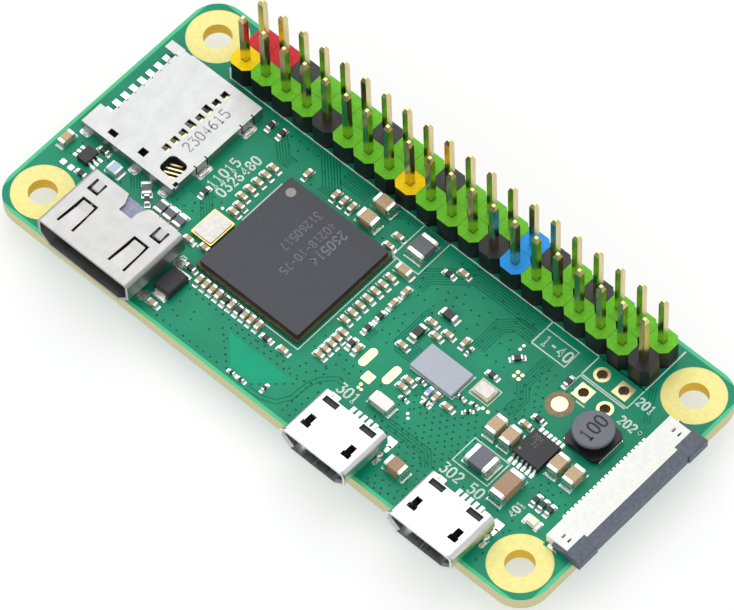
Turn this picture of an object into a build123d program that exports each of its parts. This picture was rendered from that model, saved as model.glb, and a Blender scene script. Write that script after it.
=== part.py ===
"""A credit-card-sized single board computer, modelled piece by piece in millimetres.

The frame has its origin at the centre of the rectangle of four mounting holes, on the board's
underside. +X runs along the board to the ribbon connector, +Y to the pin header, +Z up.
"""
from build123d import *
import math
import os

# ----- Board ---------------------------------------------------------------------------------
BOARD_LENGTH = 65.0
BOARD_WIDTH = 30.0
BOARD_THICKNESS = 1.4          # over both solder mask films
BOARD_CORNER_R = 3.0
MASK_T = 0.03                  # each solder mask film
MOUNT_INSET = 3.5              # hole centre from both edges
MOUNT_HOLE_D = 2.75
MOUNT_RING_D = 6.0             # bare laminate round each hole

# ----- Pin header ----------------------------------------------------------------------------
PITCH = 2.54
HEADER_COLUMNS = 20
HEADER_INSET = 3.5             # middle of the two rows from the board's long edge
HEADER_BODY_H = 2.5
HEADER_CHAMFER = 0.6
PIN_SIDE = 0.64
PIN_ABOVE_BODY = 6.5
PIN_BELOW_BODY = 3.0
PIN_POINT_L = 0.5
PIN_POINT_SIDE = 0.3
PIN_BORE_PLAY = 0.095          # bore diameter over the pin's diagonal
BARREL_WALL = 0.05
HEADER_PAD_D = 1.75
SOLDER_CONE_H = 0.9
SOLDER_CONE_HOLLOW = (0.68, 0.3)       # shares of radius and height its side passes through
SOLDER_CONE_TIP_R = 0.5
SOLDER_CONE_SKIRT = 0.05       # pad left showing round the cone

# ----- Two-hole pads for a reset switch and for analogue video -------------------------------
SPARE_PAD_D = 1.6
SPARE_PAD_X = 54.02
RESET_PADS_Y = 22.7
VIDEO_PADS_Y = 20.2

# ----- Leads and fits -------------------------------------------------------------------------
LEAD_T = 0.12
FIT = 0.05                     # clearance between pieces that slide into each other
TAIL_ROOM = 0.15               # port floors are cut this much wider than the contact tails

# ----- Video port -----------------------------------------------------------------------------
VIDEO_X = 12.35
VIDEO_W = 11.2
VIDEO_H = 3.3
VIDEO_DEPTH = 7.35
VIDEO_OVERHANG = 0.25          # past the board's edge
VIDEO_WALL = 0.3
VIDEO_CHAMFER = 1.25
VIDEO_TOP_R = 0.5
VIDEO_BLOCK_DEPTH = 2.0
VIDEO_TONGUE_W = 8.4
VIDEO_TONGUE_T = 0.7
VIDEO_TONGUE_GAP = 0.9         # tongue tip behind the mouth
VIDEO_WAYS = 19
VIDEO_PITCH = 0.4
VIDEO_SHEET = 0.2              # thickness of the fingers cut from the roof
VIDEO_NOTCH = 1.8              # notch in the middle of the roof's back edge
VIDEO_NOTCH_W = 1.56
VIDEO_LOCK_X = 3.87            # small fingers near the back, either side of the middle
VIDEO_LOCK_W = 1.3
VIDEO_LOCK_L = 1.4
VIDEO_FINGER_X = 3.17          # long fingers, either side of the middle
VIDEO_FINGER_L = 3.4
VIDEO_FINGER_TIP_W = 1.3
VIDEO_FINGER_ROOT_W = 1.55
VIDEO_SLOT = 0.27              # gap cut round each finger
VIDEO_FINGER_SAG = 0.15        # how far a finger dips into the port
VIDEO_FINGER_TIP_RISE = 0.12   # and how far its tip comes up again
VIDEO_FINGER_BACK = 2.9        # tips of the long fingers, from the shell's back
VIDEO_LOCK_BACK = 0.7          # roots of the small ones
VIDEO_NOTCH_FLARE = 0.47       # the notch opens by this much on either side
VIDEO_NOTCH_FLARE_L = 1.0
VIDEO_TONGUE_DROP = 0.05       # tongue's middle below the port's
VIDEO_CONTACT_W = 0.22
VIDEO_CONTACT_SINK = 0.08      # contacts let into the tongue
VIDEO_BEND = (0.7, 0.3)        # where a contact turns down and out, from the shell's back
VIDEO_TAIL = 0.45              # contact tails past the shell's back
CONTACT_START = 0.3            # contacts begin this far behind a tongue's tip

# ----- The two small serial ports: data and power ---------------------------------------------
DATA_X = 41.4
POWER_X = 54.05
PORT_W = 7.5
PORT_H = 2.45
PORT_DEPTH = 5.75
PORT_OVERHANG = 1.4
PORT_WALL = 0.25
PORT_CHAMFER_X = 1.15
PORT_CHAMFER_Z = 1.0
PORT_TOP_R = 0.6
PORT_BLOCK_DEPTH = 1.3
PORT_TONGUE_W = 3.9
PORT_TONGUE_T = 0.6
PORT_TONGUE_GAP = 0.7
PORT_FLARE = 0.14
PORT_FLARE_L = 0.35
PORT_WAYS = 5
PORT_PITCH = 0.65
PORT_NOTCH_W = 5.2             # notch in the roof's back edge, over the contact tails
PORT_NOTCH = 0.45
PORT_TAIL = 1.1                # contact tails past the shell's back
PORT_WINDOW_X = 2.2            # back windows, either side of the middle
PORT_WINDOW_W = 1.64
PORT_WINDOW_BACK = (1.22, 0.55)
PORT_LATCH_X = 2.4             # front windows, either side of the middle
PORT_LATCH_W = 0.7
PORT_LATCH_Y = (1.55, 2.95)    # from the mouth
PORT_LATCH_FOOT_W = 0.96       # the wider front of each of them
PORT_LATCH_FOOT_L = 0.55
PORT_SEAM_W = 0.04             # where the folded shell meets underneath
PORT_SEAM_L = 2.4
PORT_TONGUE_DROP = 0.55        # tongue's top below the roof
PORT_CONTACT_W = 0.3
PORT_CONTACT_SINK = 0.07
PORT_BEND = (0.85, 0.4)        # where a contact turns down and out, from the shell's back

# ----- Memory card socket ---------------------------------------------------------------------
CARD_X0 = 1.35                 # mouth of the cover
CARD_Y0 = 10.85
CARD_L = 11.35
CARD_W = 11.95
CARD_H = 1.35
CARD_SHEET = 0.2
CARD_RECESS = 1.4              # cut-back of the mouth between its two corners
CARD_RECESS_Y = (2.5, 10.95)   # across the cover
CARD_FLOOR_T = 0.3
CARD_STOP_DEPTH = 1.9          # plastic behind the card
CARD_WAYS = 8
CARD_PITCH = 1.1
CARD_FIRST_Y = 3.0             # middle of the first contact, from the cover's side
CARD_WINDOW = (7.45, 8.2)      # windows over the contact tips, from the mouth
CARD_WINDOW_W = 0.7
CARD_LONG_WAYS = (3, 5)        # two of those windows reach further forward
CARD_LONG_WINDOW = 0.25
CARD_NICK_X = (-0.1, 0.25)     # small nick in the mouth's edge beside each contact
CARD_NICK_Y = (0.2, 0.34)
CARD_SIDE_WINDOWS = ((2.65, 3.6, 0.62, 1.22), (6.2, 7.0, 0.85, 1.62))
CARD_BACK_SLITS = (3.2, 4.6, 9.2, 10.7)
CARD_SLIT_W = 0.14
CARD_SLIT_L = 0.3
CARD_CORNER = (0.4, 0.9)       # notch near the corner of the back fold
CARD_CORNER_L = 0.35
CARD_DENT = (1.7, 2.6)         # dent in the side, from the mouth
CARD_DENT_DEPTH = 0.12
CARD_DENT_Z = 0.5
CARD_CONTACT_W = 0.6
CARD_CONTACT_TAIL = 0.05       # contact tails begin this far inside the mouth
CARD_CONTACT_FLAT = 1.5        # they lie flat this far past the cut-back
CARD_CONTACT_RISE = ((6.2, 0.1), (7.9, 0.93), (8.3, 0.86))
CARD_CHANNEL = (2.2, 8.5)      # channel in the base under each contact
CARD_CHANNEL_W = 0.72
CARD_BASE_RIM = 0.3
CARD_SPRING_X = 9.75           # rounded window over the card-present springs
CARD_SPRING_Y = 1.9
CARD_SPRING_WINDOW = (2.1, 2.0)
CARD_SPRING_WINDOW_R = 0.55
CARD_SPRING_REACH = (1.2, 1.75, 1.75, 1.2)
CARD_SPRING_STEP = 0.42
CARD_SPRING_SHIFT = 0.4        # each spring starts back by this share of its step
CARD_SPRING_W = 0.16
CARD_SPRING_H = 0.3
CARD_SPRING_TURN = 24

# ----- Ribbon connector with its sliding latch ------------------------------------------------
RIBBON_Y = 14.85
RIBBON_WAYS = 22
RIBBON_PITCH = 0.5
RIBBON_H = 1.1
RIBBON_BACK = 3.3              # back of the housing, in from the board's short edge
RIBBON_FRONT = 0.5             # front of the housing, in from the board's short edge
RIBBON_END = 2.4               # housing past the ribbon slot at each end
RIBBON_SLOT_Z = (0.25, 0.86)
RIBBON_SLOT_BACK = 0.9         # plastic behind the slot
RIBBON_CONTACT_W = 0.2
RIBBON_CONTACT_BACK = ((0.05, 0), (0.5, 0.13))             # in from the back, and up
RIBBON_CONTACT_FRONT = ((1.2, 0.13), (0.7, 0.3), (0.5, 0.28))   # in from the front, and up
LATCH_REACH = 0.7              # latch past the board's short edge
LATCH_HORN = 0.3               # the latch's ends reach in by this much more
LATCH_END = 0.15               # and out by this much more
LATCH_END_W = 2.4
LATCH_ROUND = 0.1
LATCH_HORN_W = 2.2
LATCH_ARM_Z = (0.5, 0.9)
LATCH_TONGUE_END = 0.15        # room at each end of the tongue in the slot
RIBBON_TAIL = 0.45             # contact tails past the back of the housing
TAB_X = (-1.95, -1.55)         # hold-down tabs, from the board's short edge
TAB_W = 0.5
TAB_GAP = 0.25                 # room before and behind each tab in the housing
TAB_Y = 0.9                    # from the ends of the housing
TAB_SUNK = 0.05
FOOT_X = (-2.8, -1.7)          # hold-down feet, from the board's short edge
FOOT_T = 0.3
FOOT_W = 0.45                  # past the ends of the housing
LATCH_TONGUE_L = 1.4
LATCH_TONGUE_T = 0.2
LATCH_ARM_L = 1.6
LATCH_ARM_T = 0.25

# ----- Processor with the memory stacked on it ------------------------------------------------
STACK_X = 25.65
STACK_Y = 13.15
STACK_SIDE = 12.0
PROCESSOR_MARGIN = 0.25        # lower package's lip round the memory
PROCESSOR_BALL_H = 0.18
PROCESSOR_T = 0.4
MEMORY_BALL_H = 0.12
MEMORY_T = 0.45
MEMORY_BALL_PITCH = 0.5
MEMORY_BALL_R = 0.13
MEMORY_BALL_ROWS = 2
PROCESSOR_BALL_PITCH = 0.8
PROCESSOR_BALL_R = 0.2
PROCESSOR_BALL_ROWS = 4
BALL_MARGIN = 0.6              # both margins of a ball field together
PACKAGE_CORNER_R = 0.15

# ----- Leaded packages: middle, size, underside and top, leads ---------------------------------
LEAD_FOOT = 0.28               # a gull lead's foot begins this far from the body
LEAD_BEND = 0.12               # and its shoulder this far
REGULATOR_PLACE = (55.1, 12.8)
REGULATOR_SIDE = 3.0
REGULATOR_Z = (0.08, 0.75)
REGULATOR_LEADS = {"body_half": 1.5, "reach": 2.15, "count": 6, "pitch": 0.5, "width": 0.22,
                   "shoulder": 0.3}
SIX_LEAD_PLACE = (3.93, 8.9)
SIX_LEAD_SIZE = (1.6, 1.2)
SIX_LEAD_Z = (0.06, 0.6)
SIX_LEAD_LEADS = {"body_half": 0.6, "reach": 1.15, "count": 3, "pitch": 0.5, "width": 0.2,
                  "shoulder": 0.2}
DIODE_PLACE = (19.1, 4.0)
DIODE_SIZE = (1.9, 2.6)
DIODE_Z = (0.05, 1.0)
DIODE_BEVEL = 0.12
DIODE_FOOT = (1.3, 0.45, 0.15)         # width, length, thickness
DIODE_RISER = (0.12, 0.5)              # thickness, height

# ----- Crystals, radio chip and activity light -------------------------------------------------
CRYSTALS = {"main_crystal": (17.85, 10.75, 2.5, 3.2, 0.65),     # x, y, width, depth, height
            "radio_crystal": (47.55, 14.4, 1.9, 1.5, 0.5)}
CRYSTAL_LID_T = 0.12
CRYSTAL_LID_INSET = 0.15
CRYSTAL_BASE_R = 0.12
CRYSTAL_LID_R = 0.2
RADIO_PLACE = (43.3, 13.35)
RADIO_SIZE = (4.9, 2.95)
RADIO_Z = (0.12, 0.55)
RADIO_BALLS = (9, 5)
RADIO_BALL_PITCH = 0.5
RADIO_BALL_R = 0.13
INDICATOR_PLACE = (59.6, 7.25)
INDICATOR_CARRIER_T = 0.25
INDICATOR_LENS_INSET = 0.05

# ----- Power inductor --------------------------------------------------------------------------
INDUCTOR_PLACE = (57.9, 17.15)
INDUCTOR_SIDE = 4.0
INDUCTOR_H = 1.9
INDUCTOR_DISC_R = 1.93
INDUCTOR_CORNER = 0.45
INDUCTOR_FLANGE_T = 0.35
INDUCTOR_BASE_T = 0.45
INDUCTOR_CORE_R = 0.9
INDUCTOR_COIL_R = 1.55
INDUCTOR_BEVEL = 0.06
INDUCTOR_FOOT_T = 0.12
INDUCTOR_FOOT_X = (1.0, 1.98)
INDUCTOR_FOOT_W = 3.0

# ----- Chip components: length, width, height, end band ---------------------------------------
CASES = {
    "tiny": (0.6, 0.3, 0.3, 0.15),
    "small": (1.0, 0.5, 0.5, 0.25),
    "small_flat": (1.0, 0.5, 0.35, 0.2),
    "medium": (1.6, 0.8, 0.8, 0.35),
    "medium_flat": (1.6, 0.8, 0.55, 0.3),
    "large": (2.0, 1.25, 1.2, 0.42),
    "bulk": (3.2, 1.6, 1.3, 0.55),
    "array": (1.3, 0.95, 0.4, 0.3),
    "filter": (2.15, 1.25, 0.9, 0.25),
    "bead": (1.2, 1.15, 0.75, 0.2),
    "choke": (2.4, 1.9, 1.0, 0.5),
    "power_choke": (2.6, 2.0, 1.0, 0.55),
    "indicator": (1.6, 0.8, 0.55, 0.3),
}
CAP_PROUD = 0.015              # end caps stand this much proud of the body

TOP = BOARD_THICKNESS
PIN_BORE_D = PIN_SIDE * math.sqrt(2) + PIN_BORE_PLAY
DRILL_D = PIN_BORE_D + 2 * BARREL_WALL

os.makedirs("parts", exist_ok=True)


# ----- Helpers --------------------------------------------------------------------------------
def from_left(x):
    """X of a point x in from the board's short edge at the card socket."""
    return x - BOARD_LENGTH / 2


def from_front(y):
    """Y of a point y in from the board's long edge at the ports."""
    return y - BOARD_WIDTH / 2


def on_board(place):
    """A place on the board's top face, given from its short left and long front edges."""
    x, y = place
    return Pos(from_left(x), from_front(y), TOP)


def block(x0, x1, y0, y1, z0, z1):
    """A block between two opposite corners."""
    middle = Pos((x0 + x1) / 2, (y0 + y1) / 2, (z0 + z1) / 2)
    return middle * Box(x1 - x0, y1 - y0, z1 - z0)


def slab(sketch, z0, z1):
    """A flat outline raised from z0 to z1."""
    return extrude(Pos(0, 0, z0) * sketch, amount=z1 - z0)


def along_y(outline, y_front, y_back):
    """An outline in X and Z, run from y_front to y_back."""
    return extrude(Plane.XZ.offset(-y_back) * outline, amount=y_back - y_front)


def bent_strip(points, thickness):
    """Side outline of a bent strip: a line of points, and the same line raised by its thickness."""
    raised = [(a, b + thickness) for a, b in reversed(points)]
    return make_face(Polyline(*points, *raised, close=True))


def strip_along_x(points, thickness, y, width):
    """A bent strip that runs along X, width wide about y."""
    outline = bent_strip(points, thickness)
    return extrude(Plane.XZ.offset(-(y + width / 2)) * outline, amount=width)


def strip_along_y(points, thickness, x, width):
    """A bent strip that runs along Y, width wide about x."""
    outline = bent_strip(points, thickness)
    return extrude(Plane.YZ.offset(x - width / 2) * outline, amount=width)


def solids_of(shapes):
    """Every separate solid in a list of shapes."""
    found = []
    for shape in shapes:
        found.extend(shape.solids())
    return found


def save(name, *shapes):
    """Write one piece, or one group of like pieces, to its own file."""
    solids = solids_of(shapes)
    result = solids[0] if len(solids) == 1 else Compound(solids)
    result.label = name
    export_step(result, f"parts/{name}.step")


# ----- Chip components ------------------------------------------------------------------------
def chip(case, x, y, turn=0):
    """The body and the two end caps of a chip component at (x, y) on the board."""
    length, width, height, band = CASES[case]
    place = Pos(from_left(x), from_front(y), TOP) * Rot(0, 0, turn)
    inner = length / 2 - band
    body = place * block(-inner, inner, -width / 2 + CAP_PROUD, width / 2 - CAP_PROUD,
                         CAP_PROUD, height - CAP_PROUD)
    caps = []
    for side in (-1, 1):
        x0, x1 = sorted((side * inner, side * length / 2))
        caps.append(place * block(x0, x1, -width / 2, width / 2, 0, height))
    return body, caps


def chips(name, placements):
    """Two nodes for like chip components: their bodies and their end caps."""
    bodies = []
    caps = []
    for case, x, y, turn in placements:
        body, ends = chip(case, x, y, turn)
        bodies.append(body)
        caps.extend(ends)
    save(f"{name}_bodies", *bodies)
    save(f"{name}_ends", *caps)


def spread(case, xs, ys, turn):
    """One chip at each x and y: a row or a column."""
    return [(case, x, y, turn) for x in xs for y in ys]


def every(first, step, count):
    """Evenly spaced places."""
    return [first + step * i for i in range(count)]


def make_small_capacitors():
    """The smallest ceramic capacitors, which decouple the processor, memory and radio."""
    memory_side = spread("small", [17.45], every(15.1, 1.03, 5), 0)
    memory_side += [("small", 17.95, 14.2, 0), ("small", 18.0, 13.35, 0)]
    processor_side = spread("small", [33.3], every(11.6, 1.0, 7), 0)
    port_side = spread("small", [34.1], every(7.4, 0.78, 5), 0)
    below_stack = spread("small", [20.7, 21.5, 22.3, 23.1, 24.7, 26.3, 27.1, 27.95], [6.0], 90)
    above_stack = spread("small", [20.15, 23.6, 24.6, 25.6], [20.8], 90)
    scattered = [
        ("small", 30.9, 21.3, 0), ("small", 30.9, 20.0, 0), ("small", 31.35, 5.6, 0),
        ("small", 19.25, 1.45, 0), ("small", 17.0, 8.5, 0), ("small", 18.7, 8.8, 0),
        ("small", 39.25, 16.6, 0), ("small", 41.2, 16.6, 0), ("small", 40.5, 15.75, 0),
        ("small", 38.9, 13.05, 0), ("small", 41.8, 10.7, 0), ("small", 41.8, 9.85, 0),
        ("small", 46.2, 10.95, 0), ("small", 52.6, 14.25, 0), ("small", 37.9, 22.3, 0),
        ("small", 35.3, 17.35, 90), ("small", 35.3, 15.7, 90), ("small", 36.15, 10.1, 90),
        ("small", 42.85, 16.95, 90), ("small", 43.95, 11.0, 90), ("small", 44.75, 11.0, 90),
    ]
    return memory_side + processor_side + port_side + below_stack + above_stack + scattered


def make_large_capacitors():
    """The larger ceramic capacitors, which store charge for the supplies."""
    return [
        ("medium", 1.2, 8.95, 90), ("medium", 33.75, 18.85, 0),
        ("large", 27.75, 22.85, 0), ("large", 27.75, 20.7, 0),
        ("large", 50.9, 12.15, 90), ("large", 52.6, 12.15, 90),
        ("large", 57.6, 12.85, 90), ("large", 59.4, 12.85, 90),
        ("large", 47.2, 3.2, 0), ("bulk", 55.75, 8.2, 90),
    ]


def make_resistors():
    """The chip resistors, with black bodies."""
    right_column = [("small_flat", x, 9.1, 90) for x in (58.35, 59.15, 59.95)]
    return right_column + [
        ("small_flat", 14.5, 13.2, 90), ("small_flat", 14.0, 22.5, 90),
        ("small_flat", 15.35, 22.5, 90), ("small_flat", 35.3, 14.0, 90),
        ("small_flat", 35.3, 12.35, 90), ("small_flat", 35.35, 10.2, 90),
        ("small_flat", 52.35, 20.1, 90), ("small_flat", 23.9, 6.0, 90),
        ("small_flat", 25.5, 6.0, 90), ("small_flat", 4.6, 10.35, 0),
        ("small_flat", 4.8, 7.2, 0), ("small_flat", 29.35, 5.55, 0),
        ("small_flat", 36.9, 21.4, 0), ("small_flat", 53.0, 15.45, 0),
        ("small_flat", 46.9, 16.1, 0),
        ("small_flat", 19.2, 6.45, 0), ("small_flat", 47.35, 18.9, 50),
        ("small_flat", 11.2, 9.1, -45),
        ("medium_flat", 39.9, 18.15, 0), ("medium_flat", 39.0, 14.95, 90),
        ("tiny", 29.5, 0.9, 0), ("tiny", 30.6, 0.9, 0), ("tiny", 32.75, 1.65, 90),
        ("tiny", 43.65, 16.6, 90), ("tiny", 46.35, 12.55, 0), ("tiny", 47.8, 12.75, 0),
        ("tiny", 47.8, 11.85, 45), ("tiny", 42.6, 11.45, 0), ("tiny", 44.5, 9.95, 0),
        ("tiny", 42.7, 9.05, 0),
    ]


def make_resistor_arrays():
    """The grey arrays of pull-up resistors beside the video port."""
    return [("array", x, 9.4, 90) for x in (12.7, 13.85, 15.0)] + [("array", 10.35, 9.95, -45)]


# ----- Board and films ------------------------------------------------------------------------
def mount_hole_places():
    """The four mounting hole centres."""
    half_x = BOARD_LENGTH / 2 - MOUNT_INSET
    half_y = BOARD_WIDTH / 2 - MOUNT_INSET
    return [(sx * half_x, sy * half_y) for sx in (-1, 1) for sy in (-1, 1)]


def header_pin_places():
    """The pin centres, column by column, front row first."""
    middle_y = BOARD_WIDTH / 2 - HEADER_INSET
    first_x = -PITCH * (HEADER_COLUMNS - 1) / 2
    return [(first_x + PITCH * column, middle_y + row * PITCH / 2)
            for column in range(HEADER_COLUMNS) for row in (-1, 1)]


def ribbon_half_width():
    """Half the ribbon connector's width over its hold-down feet."""
    return RIBBON_PITCH * (RIBBON_WAYS + 1) / 2 + RIBBON_END + FOOT_W


def spare_pad_places():
    """The reset and video pads: place and whether the pad is square."""
    x0 = from_left(SPARE_PAD_X)
    return [
        (x0, from_front(RESET_PADS_Y), False), (x0 + PITCH, from_front(RESET_PADS_Y), True),
        (x0, from_front(VIDEO_PADS_Y), True), (x0 + PITCH, from_front(VIDEO_PADS_Y), False),
    ]


def pad_outlines():
    """The outline of each through-hole pad, before its bore."""
    outlines = []
    for number, (x, y) in enumerate(header_pin_places()):
        shape = Rectangle(HEADER_PAD_D, HEADER_PAD_D) if number == 0 else Circle(HEADER_PAD_D / 2)
        outlines.append(Pos(x, y) * shape)
    for x, y, square in spare_pad_places():
        shape = Rectangle(SPARE_PAD_D, SPARE_PAD_D) if square else Circle(SPARE_PAD_D / 2)
        outlines.append(Pos(x, y) * shape)
    return outlines


def make_board():
    """The laminate, the two solder mask films and the plated barrels."""
    outline = RectangleRounded(BOARD_LENGTH, BOARD_WIDTH, BOARD_CORNER_R)
    bores = header_pin_places() + [(x, y) for x, y, _ in spare_pad_places()]
    mounts = [Pos(x, y) * Circle(MOUNT_HOLE_D / 2) for x, y in mount_hole_places()]
    rings = [Pos(x, y) * Circle(MOUNT_RING_D / 2) for x, y in mount_hole_places()]
    footprint = Rectangle(RIBBON_BACK, 2 * ribbon_half_width())
    connector = Pos(BOARD_LENGTH / 2 - RIBBON_BACK / 2, from_front(RIBBON_Y)) * footprint
    top_rings = [ring - connector for ring in rings]
    drills = [Pos(x, y) * Circle(DRILL_D / 2) for x, y in bores]
    pads = pad_outlines()
    core = outline - mounts - drills
    save("pcb_laminate", slab(core, MASK_T, TOP - MASK_T))
    save("solder_mask_top", slab(outline - top_rings - pads, TOP - MASK_T, TOP))
    save("solder_mask_bottom", slab(outline - rings - pads, 0, MASK_T))
    barrels = []
    for (x, y), pad in zip(bores, pads):
        bore = Pos(x, y) * Circle(PIN_BORE_D / 2)
        tube = Pos(x, y) * Circle(DRILL_D / 2) - bore
        ring = pad - bore
        barrel = slab(tube, MASK_T, TOP - MASK_T) + slab(ring, 0, MASK_T)
        barrels.append(barrel + slab(ring, TOP - MASK_T, TOP))
    save("plated_barrels", *barrels)


# ----- Pin header -----------------------------------------------------------------------------
def make_header():
    """The header's moulding, its pins, and the solder that holds each pin."""
    half = PITCH / 2
    cut = half - HEADER_CHAMFER
    corners = [(half, cut), (cut, half), (-cut, half), (-half, cut),
               (-half, -cut), (-cut, -half), (cut, -half), (half, -cut)]
    octagon = make_face(Polyline(*corners, close=True))
    places = header_pin_places()
    cells = Sketch() + [Pos(x, y) * octagon for x, y in places]
    holes = [Pos(x, y) * Rectangle(PIN_SIDE, PIN_SIDE) for x, y in places]
    save("header_body", slab(cells - holes, TOP, TOP + HEADER_BODY_H))

    tip_z = TOP + HEADER_BODY_H + PIN_ABOVE_BODY
    tail_z = TOP - PIN_BELOW_BODY
    square = Rectangle(PIN_SIDE, PIN_SIDE)
    slope = math.degrees(math.atan((PIN_SIDE - PIN_POINT_SIDE) / 2 / PIN_POINT_L))
    shaft = slab(square, tail_z + PIN_POINT_L, tip_z - PIN_POINT_L)
    point = extrude(square, amount=PIN_POINT_L, taper=slope)
    pin = shaft + Pos(0, 0, tip_z - PIN_POINT_L) * point
    pin += Pos(0, 0, tail_z + PIN_POINT_L) * Rot(180, 0, 0) * point
    save("header_pins", *[Pos(x, y, 0) * pin for x, y in places])

    cone_r = HEADER_PAD_D / 2 - SOLDER_CONE_SKIRT
    hollow = (cone_r * SOLDER_CONE_HOLLOW[0], -SOLDER_CONE_H * SOLDER_CONE_HOLLOW[1])
    sag = ThreePointArc((cone_r, 0), hollow,
                        (SOLDER_CONE_TIP_R, -SOLDER_CONE_H))
    sides = Polyline((SOLDER_CONE_TIP_R, -SOLDER_CONE_H), (0, -SOLDER_CONE_H), (0, TOP),
                     (PIN_BORE_D / 2, TOP), (PIN_BORE_D / 2, 0), (cone_r, 0))
    section = make_face(Plane.XZ * (Curve() + [sag, sides]))
    joint = revolve(section, Axis.Z) - shaft - Box(PIN_SIDE, PIN_SIDE, 4 * PIN_BELOW_BODY)
    save("header_solder", *[Pos(x, y, 0) * joint for x, y in places])


# ----- Video port -----------------------------------------------------------------------------
def port_outline(width, height, chamfer_x, chamfer_z, top_r):
    """A port's mouth: rounded at the top, its lower corners cut off."""
    half = width / 2
    corners = [(-half + chamfer_x, 0), (half - chamfer_x, 0), (half, chamfer_z),
               (half, height), (-half, height), (-half, chamfer_z)]
    face = make_face(Polyline(*corners, close=True))
    top = [v for v in face.vertices() if abs(v.Y - height) < 1e-6]
    return fillet(top, top_r)


def chamfer_inset(chamfer_x, chamfer_z, wall):
    """How far the cut corner of a port's cavity is shorter than its outside, along X and Z."""
    slant = math.hypot(chamfer_x, chamfer_z)
    run = wall * (1 - (slant - chamfer_x) / chamfer_z)
    rise = wall * (1 - (slant - chamfer_z) / chamfer_x)
    return run, rise


def cavity_outline(width, height, chamfer_x, chamfer_z, top_r, wall):
    """The inside of a port's shell, one wall in from its outside."""
    run, rise = chamfer_inset(chamfer_x, chamfer_z, wall)
    inner = port_outline(width - 2 * wall, height - 2 * wall, chamfer_x - run, chamfer_z - rise,
                         max(top_r - wall, 0.1))
    return Pos(0, wall) * inner


def spring_finger(tip_w, root_w, length, roof):
    """A finger in the roof of a port: the window cut for it and its own bent strip.

    The window runs back from Y = 0, where its tip is free, to the root at Y = -length.
    """
    tip = tip_w / 2
    root = root_w / 2
    gap = VIDEO_SLOT
    window = Polyline((-tip - gap, 0), (tip + gap, 0), (root + gap, -length),
                      (-root - gap, -length), close=True)
    top = roof[1] - FIT
    low = top - VIDEO_SHEET
    dip = low - VIDEO_FINGER_SAG
    tip_z = dip + VIDEO_FINGER_TIP_RISE
    line = [(-length - gap, low), (-length, low), (-length / 3, dip), (-gap, tip_z)]
    side_view = bent_strip(line, VIDEO_SHEET)
    strip = extrude(Plane.YZ.offset(-root) * side_view, amount=root_w)
    plan = Polyline((-tip, 0), (tip, 0), (root, -length), (root, -length - 2 * gap),
                    (-root, -length - 2 * gap), (-root, -length), close=True)
    finger = strip & slab(make_face(plan), roof[0] - 1, roof[1] + 1)
    return slab(make_face(window), *roof), finger


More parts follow.
